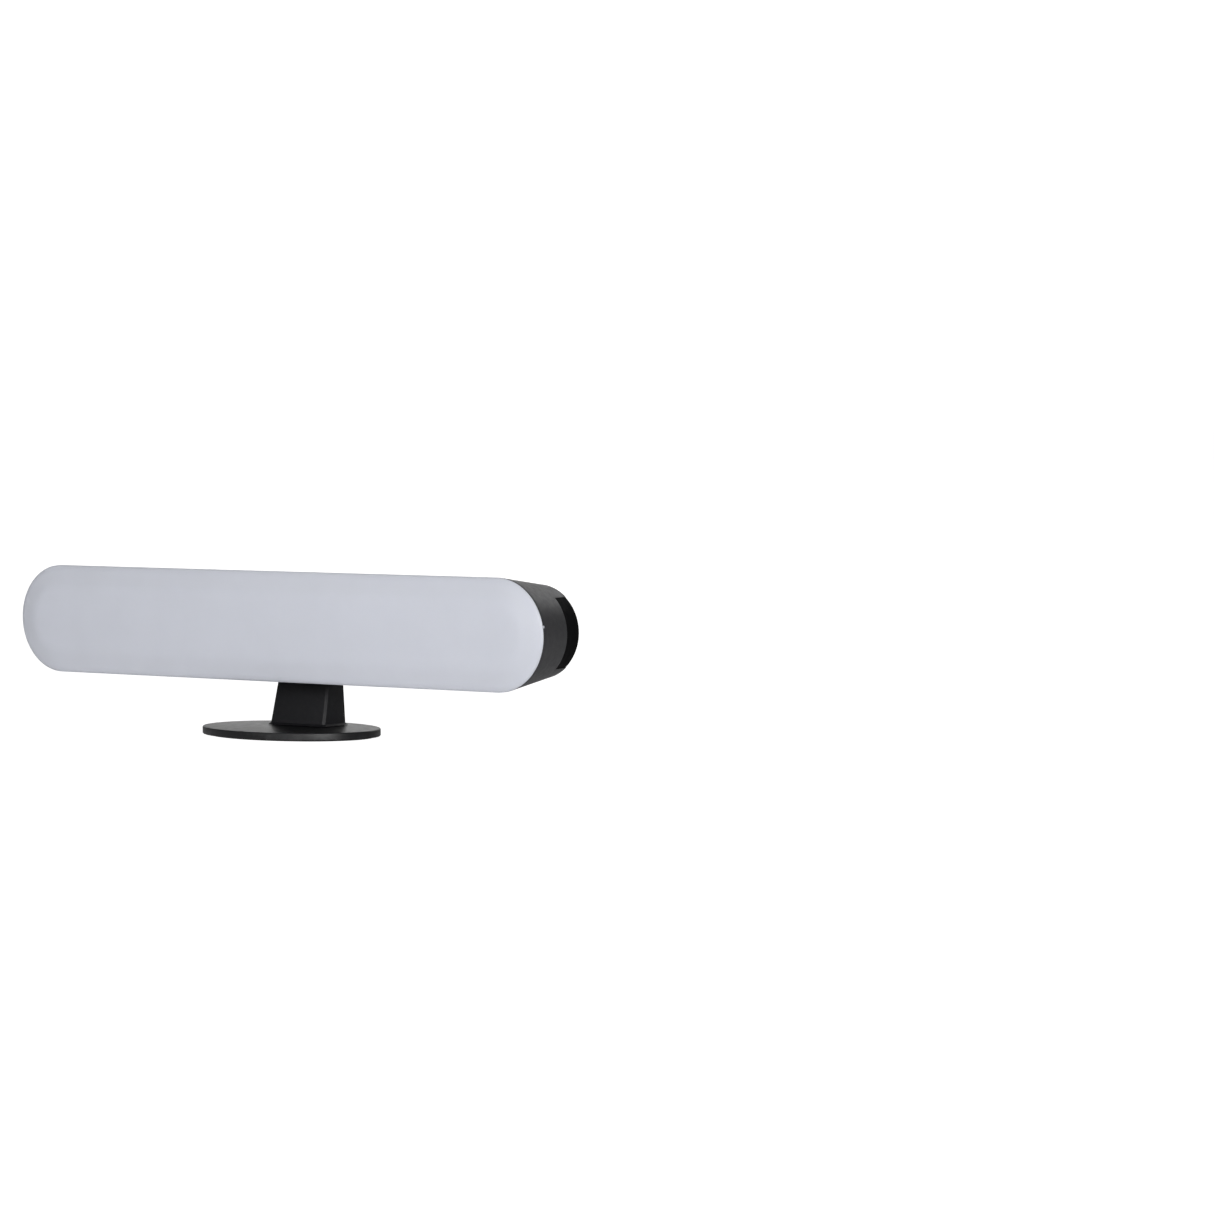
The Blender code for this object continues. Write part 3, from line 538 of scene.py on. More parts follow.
def node_material(name, colour, roughness, metallic=0.0):
    """A new material, with its tree and its shader."""
    material = bpy.data.materials.new(name)
    material.use_nodes = True
    shader = material.node_tree.nodes["Principled BSDF"]
    shader.inputs["Base Color"].default_value = (*colour, 1.0)
    shader.inputs["Roughness"].default_value = roughness
    shader.inputs["Metallic"].default_value = metallic
    return material, material.node_tree, shader


def add_node(tree, kind, **values):
    """A new node, with inputs and properties set by their names."""
    node = tree.nodes.new(kind)
    for key, value in values.items():
        if key in node.inputs:
            node.inputs[key].default_value = value
        else:
            setattr(node, key, value)
    return node


def place_output(tree, stretch=(1.0, 1.0, 1.0)):
    """The object's own coordinates in metres, stretched."""
    place = add_node(tree, "ShaderNodeTexCoord")
    mapping = add_node(tree, "ShaderNodeMapping")
    mapping.inputs["Scale"].default_value = stretch
    tree.links.new(place.outputs["Object"], mapping.inputs["Vector"])
    return mapping.outputs["Vector"]


def noise(tree, scale, detail=2.0, roughness=0.5, stretch=(1.0, 1.0, 1.0)):
    """Noise with cells of 1 / scale metres."""
    node = add_node(tree, "ShaderNodeTexNoise", Scale=scale, Detail=detail, Roughness=roughness)
    tree.links.new(place_output(tree, stretch), node.inputs["Vector"])
    return node.outputs["Fac"]


def ramp(tree, source, stops):
    """A colour ramp through (position, colour or grey) stops."""
    node = add_node(tree, "ShaderNodeValToRGB")
    elements = node.color_ramp.elements
    while len(elements) < len(stops):
        elements.new(0.5)
    for element, (position, colour) in zip(elements, stops):
        element.position = position
        if isinstance(colour, float):
            colour = (colour, colour, colour)
        element.color = (*colour, 1.0)
    tree.links.new(source, node.inputs["Fac"])
    return node.outputs["Color"]


def multiply(tree, first, second):
    node = add_node(tree, "ShaderNodeMath", operation="MULTIPLY")
    tree.links.new(first, node.inputs[0])
    tree.links.new(second, node.inputs[1])
    return node.outputs["Value"]


def mix_colours(tree, factor, first, second):
    """A blend of two colours, each an output or a fixed colour."""
    node = add_node(tree, "ShaderNodeMix", data_type="RGBA")
    tree.links.new(factor, node.inputs["Factor"])
    sockets = [socket for socket in node.inputs if socket.type == "RGBA"]
    for socket, value in zip(sockets, (first, second)):
        if isinstance(value, tuple):
            socket.default_value = (*value, 1.0)
        else:
            tree.links.new(value, socket)
    return [socket for socket in node.outputs if socket.type == "RGBA"][0]


def tint(colour, factor):
    return tuple(channel * factor for channel in colour)


def varied(tree, colour, amount, scale):
    """A colour that wanders either side of its value."""
    stops = [(0.3, tint(colour, 1 - amount)), (0.7, tint(colour, 1 + amount))]
    return ramp(tree, noise(tree, scale, detail=3.0), stops)


def rough_between(tree, shader, low, high, scale, detail=3.0, stretch=(1.0, 1.0, 1.0)):
    """Roughness that wanders between two values."""
    source = noise(tree, scale, detail, stretch=stretch)
    tree.links.new(ramp(tree, source, [(0.3, low), (0.7, high)]), shader.inputs["Roughness"])


def add_bump(tree, shader, height, distance):
    bump = add_node(tree, "ShaderNodeBump", Strength=1.0, Distance=distance)
    tree.links.new(height, bump.inputs["Height"])
    tree.links.new(bump.outputs["Normal"], shader.inputs["Normal"])


def opal_material():
    """Milky plastic that lets a little light into its skin."""
    colour = (0.66, 0.68, 0.75)
    material, tree, shader = node_material("opal_plastic", colour, 0.42)
    tree.links.new(varied(tree, colour, amount=0.012, scale=60.0), shader.inputs["Base Color"])
    rough_between(tree, shader, 0.38, 0.47, scale=220.0)
    add_bump(tree, shader, noise(tree, scale=2600.0), distance=0.000006)
    shader.inputs["IOR"].default_value = 1.49
    shader.inputs["Subsurface Weight"].default_value = 0.2
    shader.inputs["Subsurface Radius"].default_value = (1.0, 1.0, 1.1)
    shader.inputs["Subsurface Scale"].default_value = 0.003
    return material


def spark_grain(tree, scale):
    return noise(tree, scale, detail=3.0, roughness=0.6)


def moulded(name, colour, low, high, grain, depth, amount=0.08, specular=0.5):
    """Moulded plastic: a fine spark grain, with patches of more and less gloss."""
    material, tree, shader = node_material(name, colour, (low + high) / 2)
    tree.links.new(varied(tree, colour, amount, scale=700.0), shader.inputs["Base Color"])
    rough_between(tree, shader, low, high, scale=420.0, detail=4.0)
    add_bump(tree, shader, spark_grain(tree, grain), depth)
    shader.inputs["Specular IOR Level"].default_value = specular
    return material


def position_between(tree, axis, start, end):
    """0 to 1 between two places along an axis of the object's own frame."""
    parts = add_node(tree, "ShaderNodeSeparateXYZ")
    tree.links.new(place_output(tree), parts.inputs["Vector"])
    span = add_node(tree, "ShaderNodeMapRange")
    span.inputs["From Min"].default_value = start
    span.inputs["From Max"].default_value = end
    tree.links.new(parts.outputs[axis], span.inputs["Value"])
    return span.outputs["Result"]


def cover_material():
    """Dull near-black plastic, a little paler on its rear face. Off the rear face it is darker still:
    painted shade in the end notch and the screw sinks.
    """
    painted_shade_black, pale = (0.003, 0.003, 0.0035), (0.020, 0.020, 0.022)
    material, tree, shader = node_material("black_plastic", painted_shade_black, 0.67)
    rear = COVER_HIGH.y
    # 0 off the rear face, where the darker colour paints shade in the notch and the screw sinks; 1 on
    # the rear face
    facing = position_between(tree, "Y", rear - COVER_FACE_BLEND * 4, rear - COVER_FACE_BLEND)
    plate = varied(tree, pale, amount=0.10, scale=500.0)
    tree.links.new(mix_colours(tree, facing, painted_shade_black, plate), shader.inputs["Base Color"])
    rough_between(tree, shader, 0.60, 0.75, scale=420.0, detail=4.0)
    add_bump(tree, shader, spark_grain(tree, 3600.0), distance=0.00002)
    shader.inputs["Specular IOR Level"].default_value = 0.05
    return material


def base_material():
    """Satin plastic, with pale patches around the rim that are painted highlights."""
    colour = (0.007, 0.007, 0.008)
    # Paler colour for the rim's patches: painted highlights
    painted_rim_glint = (0.022, 0.022, 0.023)
    material, tree, shader = node_material("black_base_plastic", colour, 0.4)
    # The rim mask and the patches place the painted highlights
    rim = position_between(tree, "Z", BASE_HIGH.z - BASE_ROUND / 2, BASE_HIGH.z - BASE_ROUND * 2)
    patches = ramp(tree, spark_grain(tree, 95.0), [(0.52, 0.0), (0.66, 1.0)])
    marks = multiply(tree, rim, patches)
    wandering = varied(tree, colour, amount=0.08, scale=700.0)
    tree.links.new(mix_colours(tree, marks, wandering, painted_rim_glint), shader.inputs["Base Color"])
    rough_between(tree, shader, 0.36, 0.43, scale=300.0, detail=4.0)
    add_bump(tree, shader, spark_grain(tree, 2600.0), distance=0.00002)
    shader.inputs["Specular IOR Level"].default_value = 0.43
    return material


def board_material(name, colour, line_colour):
    """A circuit board's lacquer over fine copper tracks."""
    material, tree, shader = node_material(name, colour, 0.35)
    turn = add_node(tree, "ShaderNodeMapping")
    turn.inputs["Rotation"].default_value = (radians(90), 0.0, 0.0)
    tree.links.new(place_output(tree), turn.inputs["Vector"])
    tracks = add_node(tree, "ShaderNodeTexBrick", Scale=260.0, Color1=BLACK, Color2=BLACK, Mortar=WHITE)
    tracks.inputs["Mortar Size"].default_value = 0.05
    tree.links.new(turn.outputs["Vector"], tracks.inputs["Vector"])
    lacquer = varied(tree, colour, amount=0.06, scale=300.0)
    lined = mix_colours(tree, tracks.outputs["Color"], lacquer, line_colour)
    tree.links.new(lined, shader.inputs["Base Color"])
    rough_between(tree, shader, 0.28, 0.42, scale=500.0)
    add_bump(tree, shader, tracks.outputs["Color"], distance=0.00002)
    return material


def metal(name, colour, low, high, stretch=(1.0, 1.0, 1.0)):
    """Plated metal with fine marks along one direction."""
    material, tree, shader = node_material(name, colour, (low + high) / 2, 1.0)
    tree.links.new(varied(tree, colour, amount=0.07, scale=350.0), shader.inputs["Base Color"])
    rough_between(tree, shader, low, high, scale=1500.0, stretch=stretch)
    add_bump(tree, shader, noise(tree, scale=2500.0, stretch=stretch), distance=0.000008)
    return material


def foam_material():
    """Closed-cell foam rubber with open pores on its skin."""
    colour = (0.018, 0.018, 0.019)
    material, tree, shader = node_material("foam_rubber", colour, 0.9)
    cells = add_node(tree, "ShaderNodeTexVoronoi", Scale=2200.0)
    tree.links.new(place_output(tree), cells.inputs["Vector"])
    # Darker pore centres: painted shade in the pores
    pores = ramp(tree, cells.outputs["Distance"], [(0.05, tint(colour, 0.5)), (0.4, tint(colour, 1.2))])
    tree.links.new(pores, shader.inputs["Base Color"])
    rough_between(tree, shader, 0.82, 0.96, scale=600.0)
    add_bump(tree, shader, cells.outputs["Distance"], distance=0.00008)
    return material


# Moulded parts: name, colour, lowest and highest roughness, grain cells per metre, and grain depth in
# metres. Where they differ from the usual: how far the colour wanders, and the specular level
MOULDED = {
    "housing": ("black_textured_plastic", (0.030, 0.030, 0.033), 0.40, 0.50, 3200.0, 0.00003),
    # The column's colour is the housing's black made darker: painted shade from the bar above it
    "column": ("black_column_plastic", (0.009, 0.009, 0.011), 0.48, 0.60, 3200.0, 0.00002, 0.08, 0.32),
    "tray": ("white_reflector_plastic", (0.85, 0.85, 0.84), 0.28, 0.40, 1800.0, 0.000008, 0.01),
    "led_white": ("led_package", (0.86, 0.85, 0.80), 0.30, 0.42, 4000.0, 0.000006, 0.02),
    "phosphor": ("led_phosphor", (0.88, 0.72, 0.18), 0.22, 0.34, 6000.0, 0.00001, 0.06),
    "chip": ("black_resin", (0.018, 0.018, 0.020), 0.45, 0.60, 5000.0, 0.00001),
    "ceramic": ("ceramic_body", (0.42, 0.30, 0.18), 0.40, 0.55, 5000.0, 0.00001, 0.12),
    "ferrite": ("ferrite", (0.05, 0.05, 0.055), 0.62, 0.82, 2600.0, 0.00004, 0.2),
    "sleeve": ("capacitor_sleeve", (0.02, 0.03, 0.08), 0.28, 0.42, 2000.0, 0.000008),
    "nylon": ("white_nylon", (0.75, 0.73, 0.66), 0.42, 0.58, 2600.0, 0.00001, 0.03),
    "nylon_black": ("black_nylon", (0.015, 0.015, 0.016), 0.34, 0.50, 2600.0, 0.00001),
    "wire_red": ("red_insulation", (0.45, 0.02, 0.02), 0.38, 0.52, 1500.0, 0.00001),
    "wire_black": ("black_insulation", (0.015, 0.015, 0.015), 0.38, 0.52, 1500.0, 0.00001),
    "wire_white": ("white_insulation", (0.75, 0.75, 0.73), 0.38, 0.52, 1500.0, 0.00001, 0.03),
}

# Metal parts: name, colour, lowest and highest roughness, and how the marks are squeezed along each axis
METALS = {
    "tin": ("solder_tin", (0.72, 0.72, 0.70), 0.22, 0.42),
    "shield": ("shield_tin", (0.62, 0.62, 0.60), 0.24, 0.40, (1.0, 1.0, 12.0)),
    "steel": ("plated_steel", (0.55, 0.56, 0.58), 0.24, 0.42, (1.0, 1.0, 4.0)),
}

# Circuit boards: name, and the colours of the lacquer and of the tracks
BOARDS = {
    "board_white": ("white_circuit_board", (0.78, 0.78, 0.76), (0.70, 0.70, 0.67)),
    "board_green": ("green_circuit_board", (0.015, 0.13, 0.06), (0.03, 0.22, 0.09)),
}


def make_materials():
    materials = {
        "opal": opal_material(),
        "cover": cover_material(),
        "base": base_material(),
        "foam": foam_material(),
    }
    for make, table in ((moulded, MOULDED), (metal, METALS), (board_material, BOARDS)):
        for key, values in table.items():
            materials[key] = make(*values)
    return materials


def finish_node(node, material):
    """A better material on a CAD node that stays."""
    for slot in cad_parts[node].material_slots:
        slot.material = material


# Pieces of the bar


def housing_inset(depth):
    """How far the housing's outside has drawn in at a depth."""
    return REAR_INSET * (depth - HOUSING_FRONT) / (BAR_DEPTH - HOUSING_FRONT)


def tab_block(name, clearance, rear, ease=0.0):
    """The block at the bar's +X end that the diffuser's tab fills, or the notch that clears it."""
    middle_x = STRAIGHT + sqrt(END_RADIUS**2 - TAB_Z**2)
    low = (middle_x - TAB_THICKNESS - clearance, TAB_FRONT, TAB_Z - TAB_HALF_WIDTH - clearance)
    high = (middle_x + clearance, rear, TAB_Z + TAB_HALF_WIDTH + clearance)
    return box(name, low, high, ease)


def pillow_profile():
    """(inset, depth) pairs from the diffuser's flat face down over its soft edge."""
    first = PILLOW_SLOPES[0][0]
    depth = 0.0
    pairs = [(first + FACE_RING, depth), (first, depth)]
    for (far, start), (near, end) in zip(PILLOW_SLOPES, PILLOW_SLOPES[1:]):
        run = (far - near) / PILLOW_STEPS
        for step in range(PILLOW_STEPS):
            slope = radians(start + (end - start) * (step + 0.5) / PILLOW_STEPS)
            depth += run * tan(slope)
            pairs.append((far - run * (step + 1), depth))
    return pairs


def make_diffuser(material):
    """The opal front: a face that rolls over a soft edge, a skirt inside the housing, and the tab."""
    profile = pillow_profile()
    profile += rear_corner(0.0, DIFFUSER_EDGE, DIFFUSER_EDGE_ROUND)
    outer = HOUSING_WALL + GAP + housing_inset(SKIRT_END)
    inner = outer + SKIRT_WALL
    profile += [
        (HOUSING_WALL + GAP, DIFFUSER_EDGE),
        (outer, SKIRT_END - SKIRT_EASE),
        (outer + SKIRT_EASE, SKIRT_END),
        (inner - SKIRT_EASE, SKIRT_END),
        (inner, SKIRT_END - SKIRT_EASE),
        (inner, DIFFUSER_EDGE),
    ]
    profile += [(inner + inset, DIFFUSER_WALL + depth) for inset, depth in INNER_CORNER]
    mesh = join(bar_skin("diffuser", profile), [tab_block("tab", 0.0, TAB_REAR, TAB_ROUND)])
    stand_for("diffuser", "diffuser_shell", in_world(mesh), "head", material)


def rear_round(start, end, radius=REAR_ROUND):
    """(inset, depth) pairs around the bar's rounded rear edge, from one angle of it to another."""
    first_inset = housing_inset(BAR_DEPTH - REAR_ROUND) + REAR_ROUND
    pairs = []
    for step in range(REAR_ROUND_STEPS + 1):
        angle = start + (end - start) * step / REAR_ROUND_STEPS
        depth = BAR_DEPTH - REAR_ROUND + radius * sin(angle)
        pairs.append((first_inset - radius * cos(angle), depth))
    return pairs


def housing_shell():
    """The tapered wall, eased where it meets the diffuser and rounded towards the rear cover."""
    profile = front_corner(0.0, HOUSING_FRONT, FRONT_ROUND)
    straight_end = BAR_DEPTH - REAR_ROUND
    for step in range(1, HOUSING_WALL_STEPS):
        depth = HOUSING_FRONT + (straight_end - HOUSING_FRONT) * step / HOUSING_WALL_STEPS
        profile.append((housing_inset(depth), depth))
    profile += rear_round(0.0, HOUSING_ROUND_END)
    inset, rear = profile[-1]
    inner = housing_inset(rear) + HOUSING_WALL
    profile += [
        (inset + HOUSING_LIP_EASE, rear),
        (inner - INSIDE_EASE, rear),
        (inner, rear - INSIDE_EASE),
        (HOUSING_WALL, HOUSING_FRONT + INSIDE_EASE),
        (HOUSING_WALL - INSIDE_EASE, HOUSING_FRONT),
    ]
    return bar_skin("housing", profile, looped=True)


def screw_drums(name, text, radius, front, rear, steps=32):
    """A cylinder along Y, in the bar's frame, at each of the screws whose nodes' names hold a text."""
    places = [middle(node) - BAR for node in named(text)]
    return [drum(name, place.x, place.z, radius, front, rear, steps) for place in places]


def boss(place):
    """A screw boss and the rib that ties it to the housing's wall above or below it."""
    x, z = place.x, place.z
    side = copysign(1, z)
    wall_z = END_RADIUS - housing_inset(BOSS_FRONT) - HOUSING_WALL / 2
    low_z, high_z = sorted((z + side * RIB_OVERLAP, side * (wall_z - RIB_OVERLAP)))
    low = (x - RIB_HALF_WIDTH, BOSS_FRONT + RIB_SET_BACK, low_z)
    high = (x + RIB_HALF_WIDTH, BOSS_REAR - RIB_SET_BACK, high_z)
    return [drum("boss", x, z, BOSS_RADIUS, BOSS_FRONT, BOSS_REAR), box("rib", low, high)]


def make_housing(material):
    """The shell with its three notches, and a boss for each of the cover's screws."""
    half = NOTCH_WIDTH / 2
    past = BAR_DEPTH + CUT_PAST
    low = (BAR_LENGTH / 2 - END_NOTCH_REACH, END_NOTCH_FRONT, -half)
    notches = [box("end_notch", low, (BAR_LENGTH / 2 + CUT_PAST, past, half))]
    low = (-half, STAND_NOTCH_FRONT, -END_RADIUS - CUT_PAST)
    notches.append(box("stand_notch", low, (half, past, -END_RADIUS + STAND_NOTCH_REACH)))
    notches.append(tab_block("tab_notch", TAB_CLEARANCE, TAB_REAR + TAB_CLEARANCE))
    mesh = softened(cut(housing_shell(), notches), NOTCH_EDGE)
    holes = screw_drums("boss_hole", "cover_screw", SMALL_HOLE, BOSS_HOLE_FRONT, BOSS_REAR + CUT_OVER)
    for node, hole in zip(named("cover_screw"), holes):
        mesh = cut(join(mesh, boss(middle(node) - BAR)), [hole])
    mesh = in_world(mesh)
    stand_for("housing", "housing_shell", mesh, "head", material, SHELL_SHARP)


def seat_depths():
    """The seat walls' front and rear depths, each with the walls' outer and inner distances."""
    for depth in (SEAT_FRONT, COVER_FRONT + SEAT_ROOT):
        outside = END_RADIUS - housing_inset(depth) - HOUSING_WALL - GAP
        yield depth, outside, outside - SEAT_WALL


def end_seat():
    """The curved inner wall that closes the notch at the bar's +X end."""
    angles = [END_SEAT_ANGLE * (2 * i / END_SEAT_STEPS - 1) for i in range(END_SEAT_STEPS + 1)]
    rings = []
    for depth, outside, inside in seat_depths():
        corners = [(outside, angle) for angle in angles]
        corners += [(inside, angle) for angle in reversed(angles)]
        rings.append([(STRAIGHT + r * cos(a), depth, r * sin(a)) for r, a in corners])
    return skin("end_seat", rings)


def end_cheek():
    """The part of the cover that fills the notch in the housing's +X end, just below its surface."""
    front = END_NOTCH_FRONT + GAP
    profile = [(housing_inset(front) + CHEEK_RECESS, front)]
    profile += rear_round(0.0, CHEEK_ROUND_END, REAR_ROUND - CHEEK_RECESS)
    inset, rear = profile[-1]
    profile += [(inset + CHEEK_WALL, rear), (housing_inset(front) + CHEEK_RECESS + CHEEK_WALL, front)]
    wall = bar_skin("end_cheek", profile, looped=True)
    half = NOTCH_WIDTH / 2 - GAP
    low = (BAR_LENGTH / 2 - END_NOTCH_REACH + GAP, front - CUT_OVER, -half)
    block = box("cheek_block", low, (BAR_LENGTH / 2 + CUT_PAST, BAR_DEPTH + CUT_PAST, half))
    return combined(wall, "INTERSECT", [block])


def bottom_seat():
    """The flat inner wall that closes the notch under the bar's middle."""
    half = NOTCH_WIDTH / 2 + SEAT_OVERLAP
    rings = []
    for depth, outside, inside in seat_depths():
        corners = ((-half, outside), (half, outside), (half, inside), (-half, inside))
        rings.append([(x, depth, -distance) for x, distance in corners])
    return skin("bottom_seat", rings)


def cover_plate():
    """The cover's plate with its rounded edge, its screw holes and the openings for inlet and stand."""
    edge = rear_round(COVER_ROUND_START, pi / 2)
    spigot = housing_inset(BAR_DEPTH) + HOUSING_WALL + COVER_EDGE_GAP
    profile = [(spigot, COVER_FRONT), (spigot, edge[0][1]), *edge]
    through = (COVER_FRONT - CUT_OVER, BAR_DEPTH + CUT_OVER)
    sink = (BAR_DEPTH - SINK_DEPTH, BAR_DEPTH + CUT_OVER)
    holes = screw_drums("cover_hole", "cover_screw", SMALL_HOLE, *through)
    sinks = screw_drums("cover_sink", "cover_screw", SINK_RADIUS, *sink, steps=48)
    cutters = [cutter for pair in zip(holes, sinks) for cutter in pair]
    low, high = inlet_opening()
    cutters.append(box("inlet_hole", (low.x, through[0], low.z), (high.x, through[1], high.z)))
    half = NOTCH_WIDTH / 2
    low = (-half, STAND_GAP_FRONT, -END_RADIUS - CUT_PAST)
    cutters.append(box("stand_gap", low, (half, BAR_DEPTH + CUT_PAST, STAND_GAP_Z)))
    return softened(cut(bar_skin("rear_cover", profile), cutters), COVER_EASE)


def inlet_opening():
    """The inlet body's sides, with a gap around them. Its flange is wider than its rear face."""
    place = middle("power_inlet") - BAR
    half = Vector((INLET_HALF_WIDTH + GAP, 0.0, INLET_HALF_HEIGHT + GAP))
    return place - half, place + half


def socket_blocks():
    """The pocket above the bottom seat that takes the stand's tongue: its walls, and its hole."""
    x = TONGUE_HALF_WIDTH + GAP
    front = TONGUE_FRONT_Y - GAP - BAR.y
    rear = TONGUE_REAR_Y + GAP - BAR.y
    low = (-x - SOCKET_WALL, front - SOCKET_WALL, SOCKET_OVER_SEAT - END_RADIUS)
    walls = box("socket", low, (x + SOCKET_WALL, COVER_FRONT + SOCKET_ROOT, SOCKET_TOP))
    low = (-x, front, -END_RADIUS - CUT_OVER)
    return walls, box("socket_hole", low, (x, rear, SOCKET_TOP - SOCKET_WALL))


def cover_posts():
    """Posts for the tray and the control board, and the pilot holes in them."""
    root = COVER_FRONT + POST_ROOT
    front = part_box("control_board")[1].y + GAP - BAR.y
    tray_hole = (SMALL_HOLE, TRAY_REAR, TRAY_REAR + TRAY_POST_HOLE)
    board_hole = (SMALL_HOLE, front - CUT_OVER, COVER_FRONT + CUT_OVER)
    posts = screw_drums("tray_post", "tray_screw", TRAY_POST_RADIUS, TRAY_REAR + GAP, root)
    posts += screw_drums("board_post", "control_board_screw", BOARD_POST_RADIUS, front, root)
    pilots = screw_drums("tray_pilot", "tray_screw", *tray_hole)
    pilots += screw_drums("board_pilot", "control_board_screw", *board_hole)
    return posts, pilots


def make_rear_cover(material):
    """The plate with everything that stands on its inside, and the cheek that fills the end notch."""
    walls, hole = socket_blocks()
    posts, pilots = cover_posts()
    mesh = join(cover_plate(), [end_seat(), end_cheek(), bottom_seat(), walls, *posts])
    mesh = in_world(cut(mesh, [hole, *pilots]))
    stand_for("rear_cover", "rear_cover_shell", mesh, "head", material, SHELL_SHARP)


def make_power_inlet(material):
    """A round-plug inlet: a flanged block, a bore with an eased mouth, and a hole for its pin."""
    place = middle("power_inlet")
    x, z = place.x, place.z
    flange_rear = BAR.y + COVER_FRONT - GAP
    low = (x - INLET_HALF_WIDTH, INLET_LOW.y, z - INLET_HALF_HEIGHT)
    high = (x + INLET_HALF_WIDTH, INLET_HIGH.y, z + INLET_HALF_HEIGHT)
    mesh = box("power_inlet", low, high, INLET_EASE)
    low = (INLET_LOW.x, flange_rear - INLET_FLANGE_THICKNESS, INLET_LOW.z)
    mesh = join(mesh, [box("inlet_flange", low, (INLET_HIGH.x, flange_rear, INLET_HIGH.z), INLET_EASE)])
    bore = [
        (INLET_BORE_RADIUS, -INLET_BORE_DEPTH),
        (INLET_BORE_RADIUS, -INLET_BORE_FLARE),
        (INLET_BORE_RADIUS + INLET_BORE_FLARE, 0.0),
        (INLET_BORE_RADIUS + INLET_BORE_FLARE, CUT_OVER),
    ]
    pin_hole = [(PIN_RADIUS + GAP, INLET_LOW.y - INLET_HIGH.y - CUT_OVER), (PIN_RADIUS + GAP, -CUT_OVER)]
    holes = (lathe("inlet_bore", bore, steps=64), lathe("pin_hole", pin_hole))
    mesh = cut(mesh, [at_node("power_inlet", INLET_HIGH.y, hole, FACE_REAR) for hole in holes])
    stand_for("power_inlet", "power_inlet_socket", mesh, "head", material)


def make_inlet_pin(material):
    """The inlet's centre contact, with a rounded end."""
    low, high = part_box("power_inlet_pin")
    straight = high.y - low.y - PIN_RADIUS
    profile = [(PIN_RADIUS, 0.0)]
    for step in range(ROUND_STEPS + 1):
        angle = PIN_CURVE * step / ROUND_STEPS
        profile.append((PIN_RADIUS * cos(angle), straight + PIN_RADIUS * sin(angle)))
    mesh = at_node("power_inlet_pin", low.y, lathe("inlet_pin", profile), FACE_REAR)
    stand_for("power_inlet_pin", "power_inlet_pin_turned", mesh, "head", material)


# Pieces inside the bar


def make_reflector_tray(material):
    """A white dish with a narrow rounded rim, whose flat floor carries the light board."""
    front, rear = TRAY_FRONT, TRAY_REAR
    profile = [
        (TRAY_FLOOR_INSET + TRAY_ROUND, TRAY_FLOOR),
        (TRAY_FLOOR_INSET, TRAY_FLOOR - TRAY_ROUND / 3),
        (TRAY_FLOOR_INSET - TRAY_ROUND, TRAY_FLOOR - TRAY_ROUND),
        (TRAY_RIM_INSET + TRAY_WALL, front + TRAY_ROUND),
        (TRAY_RIM_INSET + TRAY_WALL - TRAY_ROUND, front),
    ]
    profile += front_corner(TRAY_RIM_INSET, front, TRAY_ROUND)
    profile += rear_corner(TRAY_RIM_INSET, front + TRAY_WALL, TRAY_ROUND)
    profile += rear_corner(TRAY_FLOOR_INSET - TRAY_WALL / 2, rear, TRAY_ROUND)
    mesh = bar_skin("reflector_tray", profile)
    through = (TRAY_FLOOR - CUT_OVER, rear + CUT_OVER)
    cutters = screw_drums("light_board_hole", "led_board_screw", SMALL_HOLE, *through)
    cutters += screw_drums("tray_hole", "tray_screw", SMALL_HOLE, *through)
    low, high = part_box("led_board_connector")
    reach = Vector((CONNECTOR_CLEARANCE, 0.0, CONNECTOR_CLEARANCE))
    low, high = low - BAR - reach, high - BAR + reach
    cutters.append(box("connector_window", (low.x, through[0], low.z), (high.x, through[1], high.z)))
    mesh = in_world(cut(mesh, cutters))
    stand_for("reflector_tray", "reflector_dish", mesh, "head", material)


def emitters():
    return [node for node in named("led_") if node[-2:].isdigit()]


def led_mesh(materials):
    """An emitter that faces +Z: a white package, phosphor in its round cup, and four solder legs."""
    side = LED_HALF_SIDE - LED_LEG_REACH
    package = box("led", (-side, -side, 0.0), (side, side, LED_HEIGHT), LED_EASE)
    cup = [(LED_CUP_FLOOR, LED_HEIGHT - LED_CUP_DEPTH), (LED_CUP_RIM, LED_HEIGHT + LED_CUP_DEPTH)]
    package = cut(package, [lathe("led_cup", cup, steps=40)])
    fill = LED_HEIGHT - LED_CUP_DEPTH / 2
    profile = [(LED_CUP_FLOOR, LED_HEIGHT - LED_PHOSPHOR_ROOT), (LED_CUP_FLOOR, fill)]
    profile += [(LED_CUP_FLOOR * share, fill + rise) for share, rise in LED_MENISCUS]
    phosphor = lathe("phosphor", profile, steps=40)
    parts = [(package, materials["led_white"]), (phosphor, materials["phosphor"])]
    for side_x in (-1, 1):
        for row in (-1, 1):
            xs = sorted((side_x * (side - LED_LEG_REACH), side_x * LED_HALF_SIDE))
            low = (xs[0], row * LED_LEG_ROW - LED_LEG_HALF, 0.0)
            high = (xs[1], row * LED_LEG_ROW + LED_LEG_HALF, LED_LEG_HEIGHT)
            parts.append((box("led_leg", low, high), materials["tin"]))
    return merged("led", parts)


def make_leds(materials):
    pattern = led_mesh(materials)
    for node in emitters():
        mesh = at_node(node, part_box(node)[1].y, pattern.copy(), FACE_FRONT)
        stand_for(node, f"{node}_emitter", mesh, "head")


def plate_part(name, x, z, width, height, bottom, top, ease=0.0):
    """A block that stands in front of a board, from one distance before its face to another."""
    low = (x - width / 2, -top, z - height / 2)
    return box(name, low, (x + width / 2, -bottom, z + height / 2), ease)


def chip(materials, x, z, width, height, thickness, legs):
    """A resin package with legs along its top and bottom edges."""
    body = plate_part("chip", x, z, width, height, CHIP_LIFT, thickness, CHIP_EASE)
    parts = [(body, materials["chip"])]
    pitch = width / (legs + 0.5)
    size = (pitch * CHIP_LEG_WIDTH, height + CHIP_LEG_REACH, 0.0, thickness * CHIP_LEG_RISE)
    for i in range(legs):
        leg_x = x + pitch * (i - (legs - 1) / 2)
        parts.append((plate_part("chip_leg", leg_x, z, *size), materials["tin"]))
    return parts


